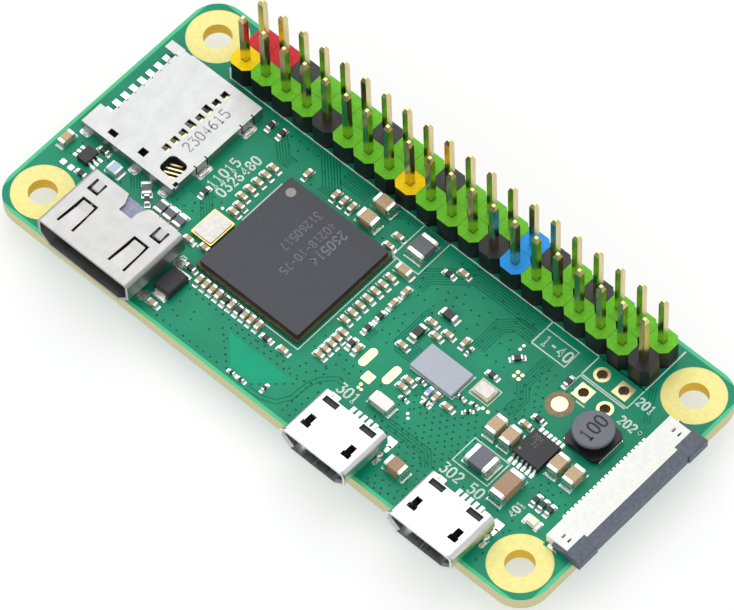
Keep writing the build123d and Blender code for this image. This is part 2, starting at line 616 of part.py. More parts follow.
def make_video_port():
    """The video port: folded shell, moulded insulator and its contacts."""
    x = from_left(VIDEO_X)
    front = from_front(-VIDEO_OVERHANG)
    back = front + VIDEO_DEPTH
    place = Pos(x, 0, TOP)
    size = (VIDEO_W, VIDEO_H, VIDEO_CHAMFER, VIDEO_CHAMFER, VIDEO_TOP_R)
    shell = along_y(port_outline(*size), front, back)
    shell -= along_y(cavity_outline(*size, VIDEO_WALL), front - 1, back + 1)
    roof = (VIDEO_H - VIDEO_WALL - FIT, VIDEO_H + FIT)
    notch_half = VIDEO_NOTCH_W / 2
    flare = notch_half + VIDEO_NOTCH_FLARE
    notch = Polyline((-notch_half, -VIDEO_NOTCH), (notch_half, -VIDEO_NOTCH),
                     (notch_half, -VIDEO_NOTCH_FLARE_L), (flare, 0), (flare, 1), (-flare, 1),
                     (-flare, 0), (-notch_half, -VIDEO_NOTCH_FLARE_L), close=True)
    cuts = [slab(Pos(0, back) * make_face(notch), *roof)]
    fingers = []
    pockets = []
    finger_y = back - VIDEO_FINGER_BACK
    lock_y = back - VIDEO_LOCK_BACK
    for side in (-1, 1):
        window, finger = spring_finger(VIDEO_FINGER_TIP_W, VIDEO_FINGER_ROOT_W, VIDEO_FINGER_L,
                                       roof)
        at = Pos(side * VIDEO_FINGER_X, finger_y)
        cuts.append(at * window)
        fingers.append(at * finger)
        window, finger = spring_finger(VIDEO_LOCK_W - 2 * VIDEO_SLOT,
                                       VIDEO_LOCK_W - 2 * VIDEO_SLOT, VIDEO_LOCK_L, roof)
        at = Pos(side * VIDEO_LOCK_X, lock_y - VIDEO_LOCK_L) * Rot(0, 0, 180)
        cuts.append(at * window)
        fingers.append(at * finger)
        pocket_x = side * VIDEO_LOCK_X
        pockets.append(block(pocket_x - VIDEO_LOCK_W / 2, pocket_x + VIDEO_LOCK_W / 2,
                             lock_y - VIDEO_LOCK_L - FIT, lock_y + FIT,
                             VIDEO_H - VIDEO_SHEET - VIDEO_FINGER_SAG - FIT, VIDEO_H))
    tail_half = VIDEO_PITCH * VIDEO_WAYS / 2 + TAIL_ROOM
    cuts.append(block(-tail_half, tail_half, back - VIDEO_BLOCK_DEPTH, back + 1, -1,
                      VIDEO_WALL + FIT))
    shell -= cuts
    shell += fingers
    save("video_port_shell", place * shell)

    block_y = back - VIDEO_BLOCK_DEPTH
    cavity = cavity_outline(*size, VIDEO_WALL)
    insulator = along_y(cavity, block_y, back - FIT)
    tongue_z = VIDEO_H / 2 - VIDEO_TONGUE_DROP
    half_t = VIDEO_TONGUE_T / 2
    half_w = VIDEO_TONGUE_W / 2
    tongue_y = front + VIDEO_TONGUE_GAP
    insulator += block(-half_w, half_w, tongue_y, block_y, tongue_z - half_t, tongue_z + half_t)
    contacts = []
    bend_y = back - VIDEO_BEND[0]
    foot_y = back - VIDEO_BEND[1]
    upper = tongue_z + half_t - VIDEO_CONTACT_SINK
    lower = tongue_z - half_t - LEAD_T + VIDEO_CONTACT_SINK
    for way in range(VIDEO_WAYS):
        contact_x = VIDEO_PITCH * (way - (VIDEO_WAYS - 1) / 2)
        level = upper if way % 2 == 0 else lower
        line = [(tongue_y + CONTACT_START, level), (bend_y, level), (foot_y, 0),
                (back + VIDEO_TAIL, 0)]
        contacts.append(strip_along_y(line, LEAD_T, contact_x, VIDEO_CONTACT_W))
    insulator -= contacts + pockets
    save("video_port_insulator", place * insulator)
    save("video_port_contacts", *[place * contact for contact in contacts])


# ----- Data and power ports -------------------------------------------------------------------
def make_serial_port(name, port_x):
    """One small serial port: drawn shell, tongue and five contacts."""
    x = from_left(port_x)
    front = from_front(-PORT_OVERHANG)
    back = front + PORT_DEPTH
    place = Pos(x, 0, TOP)
    size = (PORT_W, PORT_H, PORT_CHAMFER_X, PORT_CHAMFER_Z, PORT_TOP_R)
    outside = port_outline(*size)
    inside = cavity_outline(*size, PORT_WALL)
    neck = front + PORT_FLARE_L
    shell = along_y(outside, neck, back) - along_y(inside, neck - 1, back + 1)

    grow = PORT_FLARE
    wide = (PORT_W + 2 * grow, PORT_H + grow, PORT_CHAMFER_X, PORT_CHAMFER_Z, PORT_TOP_R)
    mouth_outside = port_outline(*wide)
    mouth_inside = cavity_outline(*wide, PORT_WALL)
    near = Plane.XZ.offset(-neck)
    far = Plane.XZ.offset(-front)
    flare = loft([near * outside, far * mouth_outside])
    flare -= loft([near * inside, far * mouth_inside])
    shell += flare
    roof = (PORT_H - PORT_WALL - FIT, PORT_H + FIT)
    cuts = []
    window_y = [back - reach for reach in PORT_WINDOW_BACK]
    latch_y = [front + reach for reach in PORT_LATCH_Y]
    foot_y = [latch_y[0], latch_y[0] + PORT_LATCH_FOOT_L]
    for side in (-1, 1):
        for middle, width, ends in ((side * PORT_WINDOW_X, PORT_WINDOW_W, window_y),
                                    (side * PORT_LATCH_X, PORT_LATCH_W, latch_y),
                                    (side * PORT_LATCH_X, PORT_LATCH_FOOT_W, foot_y)):
            cuts.append(block(middle - width / 2, middle + width / 2, *ends, *roof))
    half_notch = PORT_NOTCH_W / 2
    cuts.append(block(-half_notch, half_notch, back - PORT_NOTCH, back + 1, *roof))
    seam = PORT_SEAM_W / 2
    cuts.append(block(-seam, seam, front - 1, front + PORT_SEAM_L, -FIT, PORT_WALL + FIT))
    tail_half = PORT_PITCH * PORT_WAYS / 2 + TAIL_ROOM
    cuts.append(block(-tail_half, tail_half, back - PORT_BLOCK_DEPTH, back + 1, -1,
                      PORT_WALL + FIT))
    shell -= cuts
    save(f"{name}_port_shell", place * shell)

    block_y = back - PORT_BLOCK_DEPTH
    tongue = along_y(inside, block_y, back - PORT_NOTCH - FIT)
    tongue_z = PORT_H - PORT_WALL - PORT_TONGUE_DROP - PORT_TONGUE_T / 2
    half_t = PORT_TONGUE_T / 2
    half_w = PORT_TONGUE_W / 2
    tip_y = front + PORT_TONGUE_GAP
    tongue += block(-half_w, half_w, tip_y, block_y, tongue_z - half_t, tongue_z + half_t)
    contacts = []
    level = tongue_z - half_t - LEAD_T + PORT_CONTACT_SINK
    line = [(tip_y + CONTACT_START, level), (back - PORT_BEND[0], level), (back - PORT_BEND[1], 0),
            (back + PORT_TAIL, 0)]
    for way in range(PORT_WAYS):
        contact_x = PORT_PITCH * (way - (PORT_WAYS - 1) / 2)
        contacts.append(strip_along_y(line, LEAD_T, contact_x, PORT_CONTACT_W))
    tongue -= contacts
    save(f"{name}_port_tongue", place * tongue)
    save(f"{name}_port_contacts", *[place * contact for contact in contacts])


# ----- Memory card socket ---------------------------------------------------------------------
def make_card_socket():
    """The memory card socket: stamped cover, moulded base, contacts and card-present springs."""
    x0 = from_left(CARD_X0)
    y0 = from_front(CARD_Y0)
    place = Pos(x0, y0, TOP)
    roof_z = CARD_H - CARD_SHEET
    cover = block(0, CARD_L, 0, CARD_W, 0, CARD_H)
    cover -= block(-1, CARD_L - CARD_SHEET, CARD_SHEET, CARD_W - CARD_SHEET, -1, roof_z)
    cover = fillet(cover.edges().filter_by(Axis.Z).group_by(Axis.X)[-1], CARD_SHEET / 2)
    roof = (roof_z - FIT, CARD_H + FIT)
    contact_ys = every(CARD_FIRST_Y, CARD_PITCH, CARD_WAYS)
    tip_x0, tip_x1 = CARD_WINDOW
    half_window = CARD_WINDOW_W / 2
    cuts = [block(-1, CARD_RECESS, CARD_RECESS_Y[0], CARD_RECESS_Y[1], -1, CARD_H + 1)]
    nick_x = [CARD_RECESS + reach for reach in CARD_NICK_X]
    for number, y in enumerate(contact_ys):
        start = tip_x0 - CARD_LONG_WINDOW if number in CARD_LONG_WAYS else tip_x0
        cuts.append(block(start, tip_x1, y - half_window, y + half_window, *roof))
        cuts.append(block(*nick_x, y + CARD_NICK_Y[0], y + CARD_NICK_Y[1], *roof))
    window = RectangleRounded(*CARD_SPRING_WINDOW, CARD_SPRING_WINDOW_R)
    cuts.append(slab(Pos(CARD_SPRING_X, CARD_SPRING_Y) * window, *roof))
    for sides in CARD_SIDE_WINDOWS:
        cuts.append(block(*sides, *roof))
    cuts.append(block(CARD_L - CARD_CORNER_L, CARD_L + 1, *CARD_CORNER, roof_z - CARD_SHEET,
                      CARD_H + 1))
    for y in CARD_BACK_SLITS:
        cuts.append(block(CARD_L - CARD_SLIT_L, CARD_L + 1, y - CARD_SLIT_W / 2,
                          y + CARD_SLIT_W / 2, CARD_SHEET, CARD_H + 1))
    cuts.append(block(*CARD_DENT, CARD_W - CARD_DENT_DEPTH, CARD_W + 1, CARD_DENT_Z, CARD_H + 1))
    cover -= cuts
    save("card_socket_cover", place * cover)

    inner = CARD_SHEET + FIT
    stop_x = CARD_L - CARD_SHEET - FIT
    base_x = CARD_RECESS + CARD_BASE_RIM
    base = block(base_x, stop_x, inner, CARD_W - inner, 0, CARD_FLOOR_T)
    base += block(stop_x - CARD_STOP_DEPTH, stop_x, inner, CARD_W - inner, 0, roof_z - FIT)
    for y in (inner, CARD_W - inner - CARD_BASE_RIM):
        base += block(base_x, stop_x, y, y + CARD_BASE_RIM, 0, roof_z - FIT)
    pocket = slab(Pos(CARD_SPRING_X, CARD_SPRING_Y) * Rectangle(*CARD_SPRING_WINDOW),
                  CARD_FLOOR_T, CARD_H)
    base -= pocket
    contacts = []
    line = [(CARD_CONTACT_TAIL, 0), (CARD_RECESS + CARD_CONTACT_FLAT, 0), *CARD_CONTACT_RISE]
    channel = (CARD_RECESS + CARD_CHANNEL[0], CARD_CHANNEL[1])
    for y in contact_ys:
        contacts.append(strip_along_x(line, LEAD_T, y, CARD_CONTACT_W))
        base -= block(*channel, y - CARD_CHANNEL_W / 2, y + CARD_CHANNEL_W / 2, -1, CARD_H)
    base -= contacts
    save("card_socket_base", place * base)
    save("card_socket_contacts", *[place * contact for contact in contacts])

    springs = []
    for number, reach in enumerate(CARD_SPRING_REACH):
        offset = CARD_SPRING_STEP * (number - (len(CARD_SPRING_REACH) - 1) / 2)
        centre = Pos(CARD_SPRING_X - offset * CARD_SPRING_SHIFT, CARD_SPRING_Y + offset,
                     CARD_FLOOR_T)
        spring = block(-reach / 2, reach / 2, -CARD_SPRING_W / 2, CARD_SPRING_W / 2, 0,
                       CARD_SPRING_H)
        springs.append(place * centre * Rot(0, 0, CARD_SPRING_TURN) * spring)
    save("card_present_springs", *springs)


# ----- Ribbon connector -----------------------------------------------------------------------
def make_ribbon_connector():
    """The ribbon cable connector: housing, sliding latch, contacts and hold-down tabs."""
    edge = BOARD_LENGTH / 2
    y0 = from_front(RIBBON_Y)
    place = Pos(edge, y0, TOP)
    slot_half = RIBBON_PITCH * (RIBBON_WAYS + 1) / 2
    body_half = slot_half + RIBBON_END
    latch_half = body_half + LATCH_ARM_T + FIT
    horn_y = body_half - LATCH_HORN_W
    horn_x = -RIBBON_FRONT - LATCH_HORN
    slot_low, slot_high = RIBBON_SLOT_Z
    body = block(-RIBBON_BACK, -RIBBON_FRONT, -horn_y, horn_y, 0, RIBBON_H)
    body += block(-RIBBON_BACK, horn_x - FIT, -body_half, body_half, 0, RIBBON_H)
    body -= block(-RIBBON_BACK + RIBBON_SLOT_BACK, 0, -slot_half, slot_half, slot_low, slot_high)
    contacts = []
    line = [(-RIBBON_BACK - RIBBON_TAIL, 0)]
    line += [(-RIBBON_BACK + reach, rise) for reach, rise in RIBBON_CONTACT_BACK]
    line += [(-RIBBON_FRONT - reach, rise) for reach, rise in RIBBON_CONTACT_FRONT]
    for way in range(RIBBON_WAYS):
        y = RIBBON_PITCH * (way - (RIBBON_WAYS - 1) / 2)
        contacts.append(strip_along_x(line, LEAD_T, y, RIBBON_CONTACT_W))
    body -= contacts
    tabs = []
    for side in (-1, 1):
        middle = side * (body_half - TAB_Y)
        low, high = middle - TAB_W / 2, middle + TAB_W / 2
        body -= block(TAB_X[0] - TAB_GAP, TAB_X[1] + TAB_GAP, low, high, -1, RIBBON_H + 1)
        tabs.append(block(*TAB_X, low, high, 0, RIBBON_H - TAB_SUNK))
        low, high = sorted((side * body_half, side * (body_half + FOOT_W)))
        tabs.append(block(*FOOT_X, low, high, 0, FOOT_T))
    save("ribbon_connector_body", place * body)
    save("ribbon_contacts", *[place * contact for contact in contacts])
    save("ribbon_hold_downs", *[place * tab for tab in tabs])

    tongue_top = slot_high - FIT
    front = -RIBBON_FRONT + FIT
    latch = block(front, LATCH_REACH, -latch_half, latch_half, FIT, RIBBON_H)
    tongue_half = slot_half - LATCH_TONGUE_END
    latch += block(front - LATCH_TONGUE_L, front, -tongue_half, tongue_half,
                   tongue_top - LATCH_TONGUE_T, tongue_top)
    for side in (-1, 1):
        low, high = sorted((side * (horn_y + FIT), side * latch_half))
        latch += block(horn_x, front, low, high, FIT, RIBBON_H)
        low, high = sorted((side * (body_half + FIT), side * latch_half))
        latch += block(horn_x - LATCH_ARM_L, horn_x, low, high, *LATCH_ARM_Z)
        low, high = sorted((side * latch_half, side * (latch_half - LATCH_END_W)))
        latch += block(LATCH_REACH - FIT, LATCH_REACH + LATCH_END, low, high, FIT, RIBBON_H)
    grip = [v for v in latch.edges().filter_by(Axis.Y) if v.center().X > LATCH_REACH + LATCH_END / 2]
    latch = fillet(grip, LATCH_ROUND)
    save("ribbon_latch", place * latch)


# ----- Processor and memory -------------------------------------------------------------------
def ball_rows(side, pitch, rows, radius, z0, height):
    """Solder balls in a square frame of the given number of rows."""
    count = int(side / pitch)
    first = -pitch * (count - 1) / 2
    balls = []
    for i in range(count):
        for j in range(count):
            if min(i, j, count - 1 - i, count - 1 - j) < rows:
                spot = Pos(first + pitch * i, first + pitch * j, z0 + height / 2)
                balls.append(spot * Cylinder(radius, height))
    return balls


def make_stack():
    """The processor and the memory package soldered on top of it."""
    place = Pos(from_left(STACK_X), from_front(STACK_Y), TOP)
    lower = STACK_SIDE + 2 * PROCESSOR_MARGIN
    z1 = PROCESSOR_BALL_H
    z2 = z1 + PROCESSOR_T
    z3 = z2 + MEMORY_BALL_H
    z4 = z3 + MEMORY_T
    processor = RectangleRounded(lower, lower, PACKAGE_CORNER_R)
    memory = RectangleRounded(STACK_SIDE, STACK_SIDE, PACKAGE_CORNER_R)
    save("processor_package", place * slab(processor, z1, z2))
    save("memory_package", place * slab(memory, z3, z4))
    balls = ball_rows(lower - BALL_MARGIN, PROCESSOR_BALL_PITCH, PROCESSOR_BALL_ROWS,
                      PROCESSOR_BALL_R, 0, z1)
    save("processor_solder_balls", *[place * ball for ball in balls])
    balls = ball_rows(STACK_SIDE - BALL_MARGIN, MEMORY_BALL_PITCH, MEMORY_BALL_ROWS,
                      MEMORY_BALL_R, z2, MEMORY_BALL_H)
    save("memory_solder_balls", *[place * ball for ball in balls])


# ----- Other packaged parts -------------------------------------------------------------------
def gull_leads(place, body_half, reach, count, pitch, width, shoulder):
    """Bent leads on both sides of a package, along its local Y."""
    leads = []
    for side in (0, 180):
        for number in range(count):
            x = pitch * (number - (count - 1) / 2)
            line = [(-reach, 0), (-body_half - LEAD_FOOT, 0), (-body_half - LEAD_BEND, shoulder),
                    (-body_half, shoulder)]
            lead = strip_along_y(line, LEAD_T, x, width)
            leads.append(place * Rot(0, 0, side) * lead)
    return leads


def make_regulator():
    """The switching regulator beside its inductor."""
    place = on_board(REGULATOR_PLACE)
    outline = Rectangle(REGULATOR_SIDE, REGULATOR_SIDE)
    save("regulator_body", place * slab(outline, *REGULATOR_Z))
    save("regulator_leads", *gull_leads(place, **REGULATOR_LEADS))


def make_interface_chip():
    """The six-lead chip near the card socket."""
    place = on_board(SIX_LEAD_PLACE) * Rot(0, 0, 90)
    save("six_lead_chip_body", place * slab(Rectangle(*SIX_LEAD_SIZE), *SIX_LEAD_Z))
    save("six_lead_chip_leads", *gull_leads(place, **SIX_LEAD_LEADS))


def make_diode():
    """The moulded diode beside the video port."""
    place = on_board(DIODE_PLACE)
    body = place * slab(Rectangle(*DIODE_SIZE), *DIODE_Z)
    save("diode_body", chamfer(body.faces().sort_by(Axis.Z)[-1].edges(), DIODE_BEVEL))
    end = DIODE_SIZE[1] / 2
    width, length, thickness = DIODE_FOOT
    riser_t, riser_h = DIODE_RISER
    foot = block(-width / 2, width / 2, end, end + length, 0, thickness)
    foot += block(-width / 2, width / 2, end, end + riser_t, 0, riser_h)
    leads = [place * Rot(0, 0, turn) * foot for turn in (0, 180)]
    save("diode_leads", *leads)


def make_crystals():
    """The main crystal and the small one for the radio: ceramic base and welded lid."""
    for name, (x, y, width, depth, height) in CRYSTALS.items():
        place = on_board((x, y))
        seam = height - CRYSTAL_LID_T
        inset = 2 * CRYSTAL_LID_INSET
        base = slab(RectangleRounded(width, depth, CRYSTAL_BASE_R), 0, seam)
        lid = slab(RectangleRounded(width - inset, depth - inset, CRYSTAL_LID_R), seam, height)
        save(f"{name}_base", place * base)
        save(f"{name}_lid", place * lid)


def make_radio_chip():
    """The wireless chip, flip-mounted on its solder balls."""
    place = on_board(RADIO_PLACE)
    save("radio_chip", place * slab(Rectangle(*RADIO_SIZE), *RADIO_Z))
    ball_h = RADIO_Z[0]
    columns, rows = RADIO_BALLS
    balls = []
    for i in range(columns):
        for j in range(rows):
            spot = Pos(RADIO_BALL_PITCH * (i - (columns - 1) / 2),
                       RADIO_BALL_PITCH * (j - (rows - 1) / 2), ball_h / 2)
            balls.append(place * spot * Cylinder(RADIO_BALL_R, ball_h))
    save("radio_chip_solder_balls", *balls)


def make_inductor():
    """The power inductor: ferrite drum, copper winding and two soldered feet."""
    place = on_board(INDUCTOR_PLACE)
    side = INDUCTOR_SIDE
    height = INDUCTOR_H
    foot_t = INDUCTOR_FOOT_T
    flange = INDUCTOR_FLANGE_T
    footprint = chamfer(Rectangle(side, side).vertices(), INDUCTOR_CORNER)
    core = slab(footprint, foot_t, foot_t + INDUCTOR_BASE_T)
    core += Pos(0, 0, height / 2) * Cylinder(INDUCTOR_CORE_R, height - 2 * foot_t)
    disc = Pos(0, 0, height - flange / 2) * Cylinder(INDUCTOR_DISC_R, flange)
    core += chamfer(disc.faces().sort_by(Axis.Z)[-1].edges(), INDUCTOR_BEVEL)
    turns = Circle(INDUCTOR_COIL_R) - Circle(INDUCTOR_CORE_R)
    winding = slab(turns, foot_t + INDUCTOR_BASE_T, height - flange)
    foot = block(*INDUCTOR_FOOT_X, -INDUCTOR_FOOT_W / 2, INDUCTOR_FOOT_W / 2, 0, foot_t)
    save("inductor_core", place * core)
    save("inductor_winding", place * winding)
    save("inductor_feet", *[place * Rot(0, 0, turn) * foot for turn in (0, 180)])


def make_indicator():
    """The activity light: white carrier with soldered ends and a clear lens."""
    length, width, height, band = CASES["indicator"]
    place = on_board(INDICATOR_PLACE)
    inner = length / 2 - band
    seat = INDICATOR_CARRIER_T
    lens_half = width / 2 - INDICATOR_LENS_INSET
    carrier = block(-inner, inner, -width / 2, width / 2, 0, seat)
    lens = block(-inner, inner, -lens_half, lens_half, seat, height)
    ends = []
    for side in (-1, 1):
        x0, x1 = sorted((side * inner, side * length / 2))
        ends.append(block(x0, x1, -width / 2, width / 2, 0, seat))
    save("indicator_carrier", place * carrier)
    save("indicator_lens", place * lens)
    save("indicator_ends", *[place * end for end in ends])


make_header()
make_video_port()
make_serial_port("data", DATA_X)
make_serial_port("power", POWER_X)
make_card_socket()
make_ribbon_connector()
make_stack()
make_regulator()
make_interface_chip()
make_diode()
make_crystals()
make_radio_chip()
make_inductor()
make_indicator()
chips("small_capacitor", make_small_capacitors())
chips("large_capacitor", make_large_capacitors())
chips("resistor", make_resistors())
chips("resistor_array", make_resistor_arrays())
chips("ceramic_filter", [("filter", 41.7, 7.3, 0), ("bead", 6.85, 9.45, 0)])
chips("choke", [("choke", 33.35, 21.7, 90), ("power_choke", 52.25, 8.8, 0)])
make_board()
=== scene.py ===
"""Looks for a single board computer: finishes, solder, printing and fine detail on its parts."""
import math
import random

import bmesh
import bpy
from bpy.props import FloatProperty, FloatVectorProperty, IntProperty, PointerProperty
from mathutils import Matrix, Vector


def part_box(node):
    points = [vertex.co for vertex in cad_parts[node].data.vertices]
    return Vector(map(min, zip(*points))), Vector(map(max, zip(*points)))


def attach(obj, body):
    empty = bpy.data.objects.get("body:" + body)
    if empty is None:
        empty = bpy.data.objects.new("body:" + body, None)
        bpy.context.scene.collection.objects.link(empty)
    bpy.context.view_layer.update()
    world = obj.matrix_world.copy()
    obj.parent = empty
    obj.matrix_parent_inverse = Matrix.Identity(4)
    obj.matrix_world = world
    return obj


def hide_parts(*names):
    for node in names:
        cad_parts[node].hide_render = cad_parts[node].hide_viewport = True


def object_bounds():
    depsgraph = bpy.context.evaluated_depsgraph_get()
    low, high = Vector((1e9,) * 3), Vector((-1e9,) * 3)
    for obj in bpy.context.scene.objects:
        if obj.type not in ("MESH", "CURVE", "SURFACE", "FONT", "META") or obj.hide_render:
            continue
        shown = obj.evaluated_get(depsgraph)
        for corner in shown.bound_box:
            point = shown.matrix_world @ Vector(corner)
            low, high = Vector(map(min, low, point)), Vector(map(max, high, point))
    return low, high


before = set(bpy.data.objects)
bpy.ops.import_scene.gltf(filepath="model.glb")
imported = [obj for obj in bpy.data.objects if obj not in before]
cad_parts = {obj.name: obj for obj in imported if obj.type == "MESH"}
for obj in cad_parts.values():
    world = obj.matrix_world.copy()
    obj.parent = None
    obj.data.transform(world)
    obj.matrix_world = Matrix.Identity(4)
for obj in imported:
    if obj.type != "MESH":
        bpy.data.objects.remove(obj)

bl_info = {
    "name": "Single board computer looks",
    "version": (1, 0, 0),
    "blender": (4, 5, 0),
    "location": "3D View > Sidebar > Board",
    "description": "Finishes and fine detail for a small computer board",
    "category": "Object",
}

CAD_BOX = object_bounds()
MM = 0.001
BOARD = "board"


def mm(*values):
    """A point given in millimetres, as a vector in metres."""
    return Vector(values) * MM


def linear(code):
    """An sRGB hex colour as linear red, green and blue."""
    channels = [int(code[i:i + 2], 16) / 255 for i in (1, 3, 5)]
    return [c / 12.92 if c <= 0.04045 else ((c + 0.055) / 1.055) ** 2.4 for c in channels]


# ----- Places, all taken from the frame --------------------------------------------------------
MASK_LOW, MASK_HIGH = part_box("solder_mask_top")
CORNER = Vector((MASK_LOW.x, MASK_LOW.y, 0))
TOP = MASK_HIGH.z
BOARD_HALF = Vector((MASK_HIGH.x, MASK_HIGH.y, 0))
HOLE_INSET = 3.5                                       # mm, mounting holes from both edges
RING_R = 3.0 * MM                                      # bare laminate round each mounting hole
SPARE_PADS_X = (54.02, 56.56)                          # mm from the card edge
SPARE_PADS_Y = (20.2, 22.7)                            # mm from the port edge
CARD_TIP_X = 9.2                                       # mm, where the springs touch the card
CARD_FIRST_TIP_Y = 13.85                               # mm
CARD_TIP_PITCH = 1.1                                   # mm
CARD_WAYS = 8
RIM_WIDTH = 0.42                                       # mm, paler mask along the board's edge
RIM_BLEND = 0.12                                       # mm
HOLE_MARGIN = 1.2                                      # mm, every drilled hole lies further in


def spot(x, y, rise=0.0):
    """A place on the board's top in mm: x from the card edge, y from the port edge, rise above."""
    return Vector((CORNER.x + x * MM, CORNER.y + y * MM, TOP + rise * MM))


# ----- Sizes and colours a user may change -----------------------------------------------------
def colour_property(name, code, description):
    """A colour setting that starts at an sRGB hex value."""
    return FloatVectorProperty(name=name, description=description, subtype="COLOR", size=3,
                               min=0, max=1, default=linear(code))


def length_property(name, size_mm, description):
    """A length setting, given here in mm and held in metres."""
    return FloatProperty(name=name, description=description, unit="LENGTH", min=0,
                         default=size_mm * MM, precision=5)


class BoardColours(bpy.types.PropertyGroup):
    """Colours of the films, inks and mouldings."""
    mask: colour_property("Solder mask", "#068C68", "Mask over the copper pour")
    mask_edge: colour_property("Mask rim", "#50C48A", "Mask over bare laminate at the board's rim")
    mask_window: colour_property("Bare window", "#00A076", "Mask over bare laminate at the antenna")
    laminate: colour_property("Laminate", "#F6EA92", "Bare glass epoxy round the mounting holes")
    ink_green: colour_property("Green ink", "#6CC22C", "General pins")
    ink_yellow: colour_property("Yellow ink", "#FFD400", "Low supply pins")
    ink_red: colour_property("Red ink", "#CC2E38", "High supply pins")
    ink_blue: colour_property("Blue ink", "#2E9CF6", "Identification pins")
    silk: colour_property("Board printing", "#DDEFE4", "White legend ink")


class BoardSizes(bpy.types.PropertyGroup):
    """Sizes of the printed and soldered detail."""
    silk_width: length_property("Legend line", 0.16, "Width of the printed lines")
    film: length_property("Film", 0.012, "Thickness of printing on the mask")
    trace_width: length_property("Trace", 0.13, "Width of the fine tracks under the mask")
    via_radius: length_property("Via", 0.11, "Radius of a via's tented mouth")
    toe: length_property("Solder toe", 0.27, "Length of the fillet past a chip's end")
    ink: length_property("Pin ink", 0.03, "Thickness of the ink on the header")
    seed: IntProperty(name="Seed", description="Seed of the small irregularities", default=7, min=0)


# ----- Material making -------------------------------------------------------------------------
RESIN_IOR = 1.5


def add(tree, kind, links=None, **settings):
    """Add one shader or geometry node, with its settings, input values and links."""
    node = tree.nodes.new(kind)
    for key, value in settings.items():
        setattr(node, key, value)
    for socket, value in (links or {}).items():
        target = node.inputs[socket]
        if isinstance(value, bpy.types.NodeSocket):
            tree.links.new(value, target)
        else:
            target.default_value = value
    return node


def new_material(name):
    """An empty material, with its tree, its shader and the place on the object."""
    material = bpy.data.materials.new(name)
    material.use_nodes = True
    tree = material.node_tree
    place = add(tree, "ShaderNodeTexCoord").outputs["Object"]
    return material, tree, tree.nodes["Principled BSDF"], place


def grain(tree, place, size_mm, detail, spread=0.2):
    """Noise in grains of a real size: as it comes, and stretched to run from 0 to 1."""
    raw = add(tree, "ShaderNodeTexNoise", {"Vector": place, "Detail": detail,
                                           "Scale": 1 / (size_mm * MM)}).outputs["Fac"]
    full = add(tree, "ShaderNodeMapRange", {"Value": raw, "From Min": 0.5 - spread,
                                            "From Max": 0.5 + spread}).outputs[0]
    return raw, full


def roughen(tree, shader, height, depth_mm):
    """Give a finish relief of a real depth."""
    bump = add(tree, "ShaderNodeBump", {"Height": height, "Distance": depth_mm * MM})
    tree.links.new(bump.outputs[0], shader.inputs["Normal"])


def rgba(colour):
    """A linear colour with full alpha."""
    return (*colour, 1.0)


def shaded(colour, factor):
    """A colour made darker or lighter by a factor."""
    return [min(1.0, c * factor) for c in colour]


def surface(name, low, high, grain_mm, roughness, metallic=0.0, bump_mm=0.0, detail=3.0,
            rough_spread=0.0, stretch=(1, 1, 1), spots=(), **extra):
    """A finish whose tone drifts between two colours in grains of a real size, with its own relief.

    Each spot is a point, a radius in mm and a low and high colour that hold inside that ball.
    """
    material, tree, shader, place = new_material(name)
    turned = add(tree, "ShaderNodeMapping", {"Vector": place, "Scale": stretch}).outputs[0]
    raw, full = grain(tree, turned, grain_mm, detail)
    tone = mix_colour(tree, full, low, high)
    for point, radius, low_here, high_here in spots:
        gap = add(tree, "ShaderNodeVectorMath", {0: place, 1: point}, operation="DISTANCE")
        inside = add(tree, "ShaderNodeMath", {0: gap.outputs["Value"], 1: radius * MM},
                     operation="LESS_THAN")
        here = mix_colour(tree, full, low_here, high_here)
        tone = mix_colour(tree, inside.outputs[0], tone, here)
    tree.links.new(tone, shader.inputs["Base Color"])
    shader.inputs["Metallic"].default_value = metallic
    if metallic == 0.0:
        shader.inputs["IOR"].default_value = RESIN_IOR
    shader.inputs["Roughness"].default_value = roughness
    if rough_spread:
        spread = add(tree, "ShaderNodeMapRange", {"Value": full,
                                                  "To Min": roughness - rough_spread,
                                                  "To Max": roughness + rough_spread})
        tree.links.new(spread.outputs[0], shader.inputs["Roughness"])
    if bump_mm:
        roughen(tree, shader, raw, bump_mm)
    for socket, value in extra.items():
        shader.inputs[socket.replace("_", " ")].default_value = value
    return material


def mix_colour(tree, factor, a, b):
    """Mix two colours by a socket: two sRGB hex codes, or each a linear value or a socket."""
    if isinstance(a, str):
        a, b = linear(a), linear(b)
    a, b = (c if isinstance(c, bpy.types.NodeSocket) else rgba(c) for c in (a, b))
    mix = add(tree, "ShaderNodeMix", {"Factor": factor, 6: a, 7: b}, data_type="RGBA")
    return mix.outputs[2]


def rim_distance(tree, place):
    """How far a place lies in from the board's nearest edge, in metres."""
    split = add(tree, "ShaderNodeSeparateXYZ", {"Vector": place})
    gaps = []
    for axis, half in (("X", BOARD_HALF.x), ("Y", BOARD_HALF.y)):
        size = add(tree, "ShaderNodeMath", {0: split.outputs[axis]}, operation="ABSOLUTE")
        gap = add(tree, "ShaderNodeMath", {0: half, 1: size.outputs[0]}, operation="SUBTRACT")
        gaps.append(gap.outputs[0])
    return add(tree, "ShaderNodeMath", dict(enumerate(gaps)), operation="MINIMUM").outputs[0]


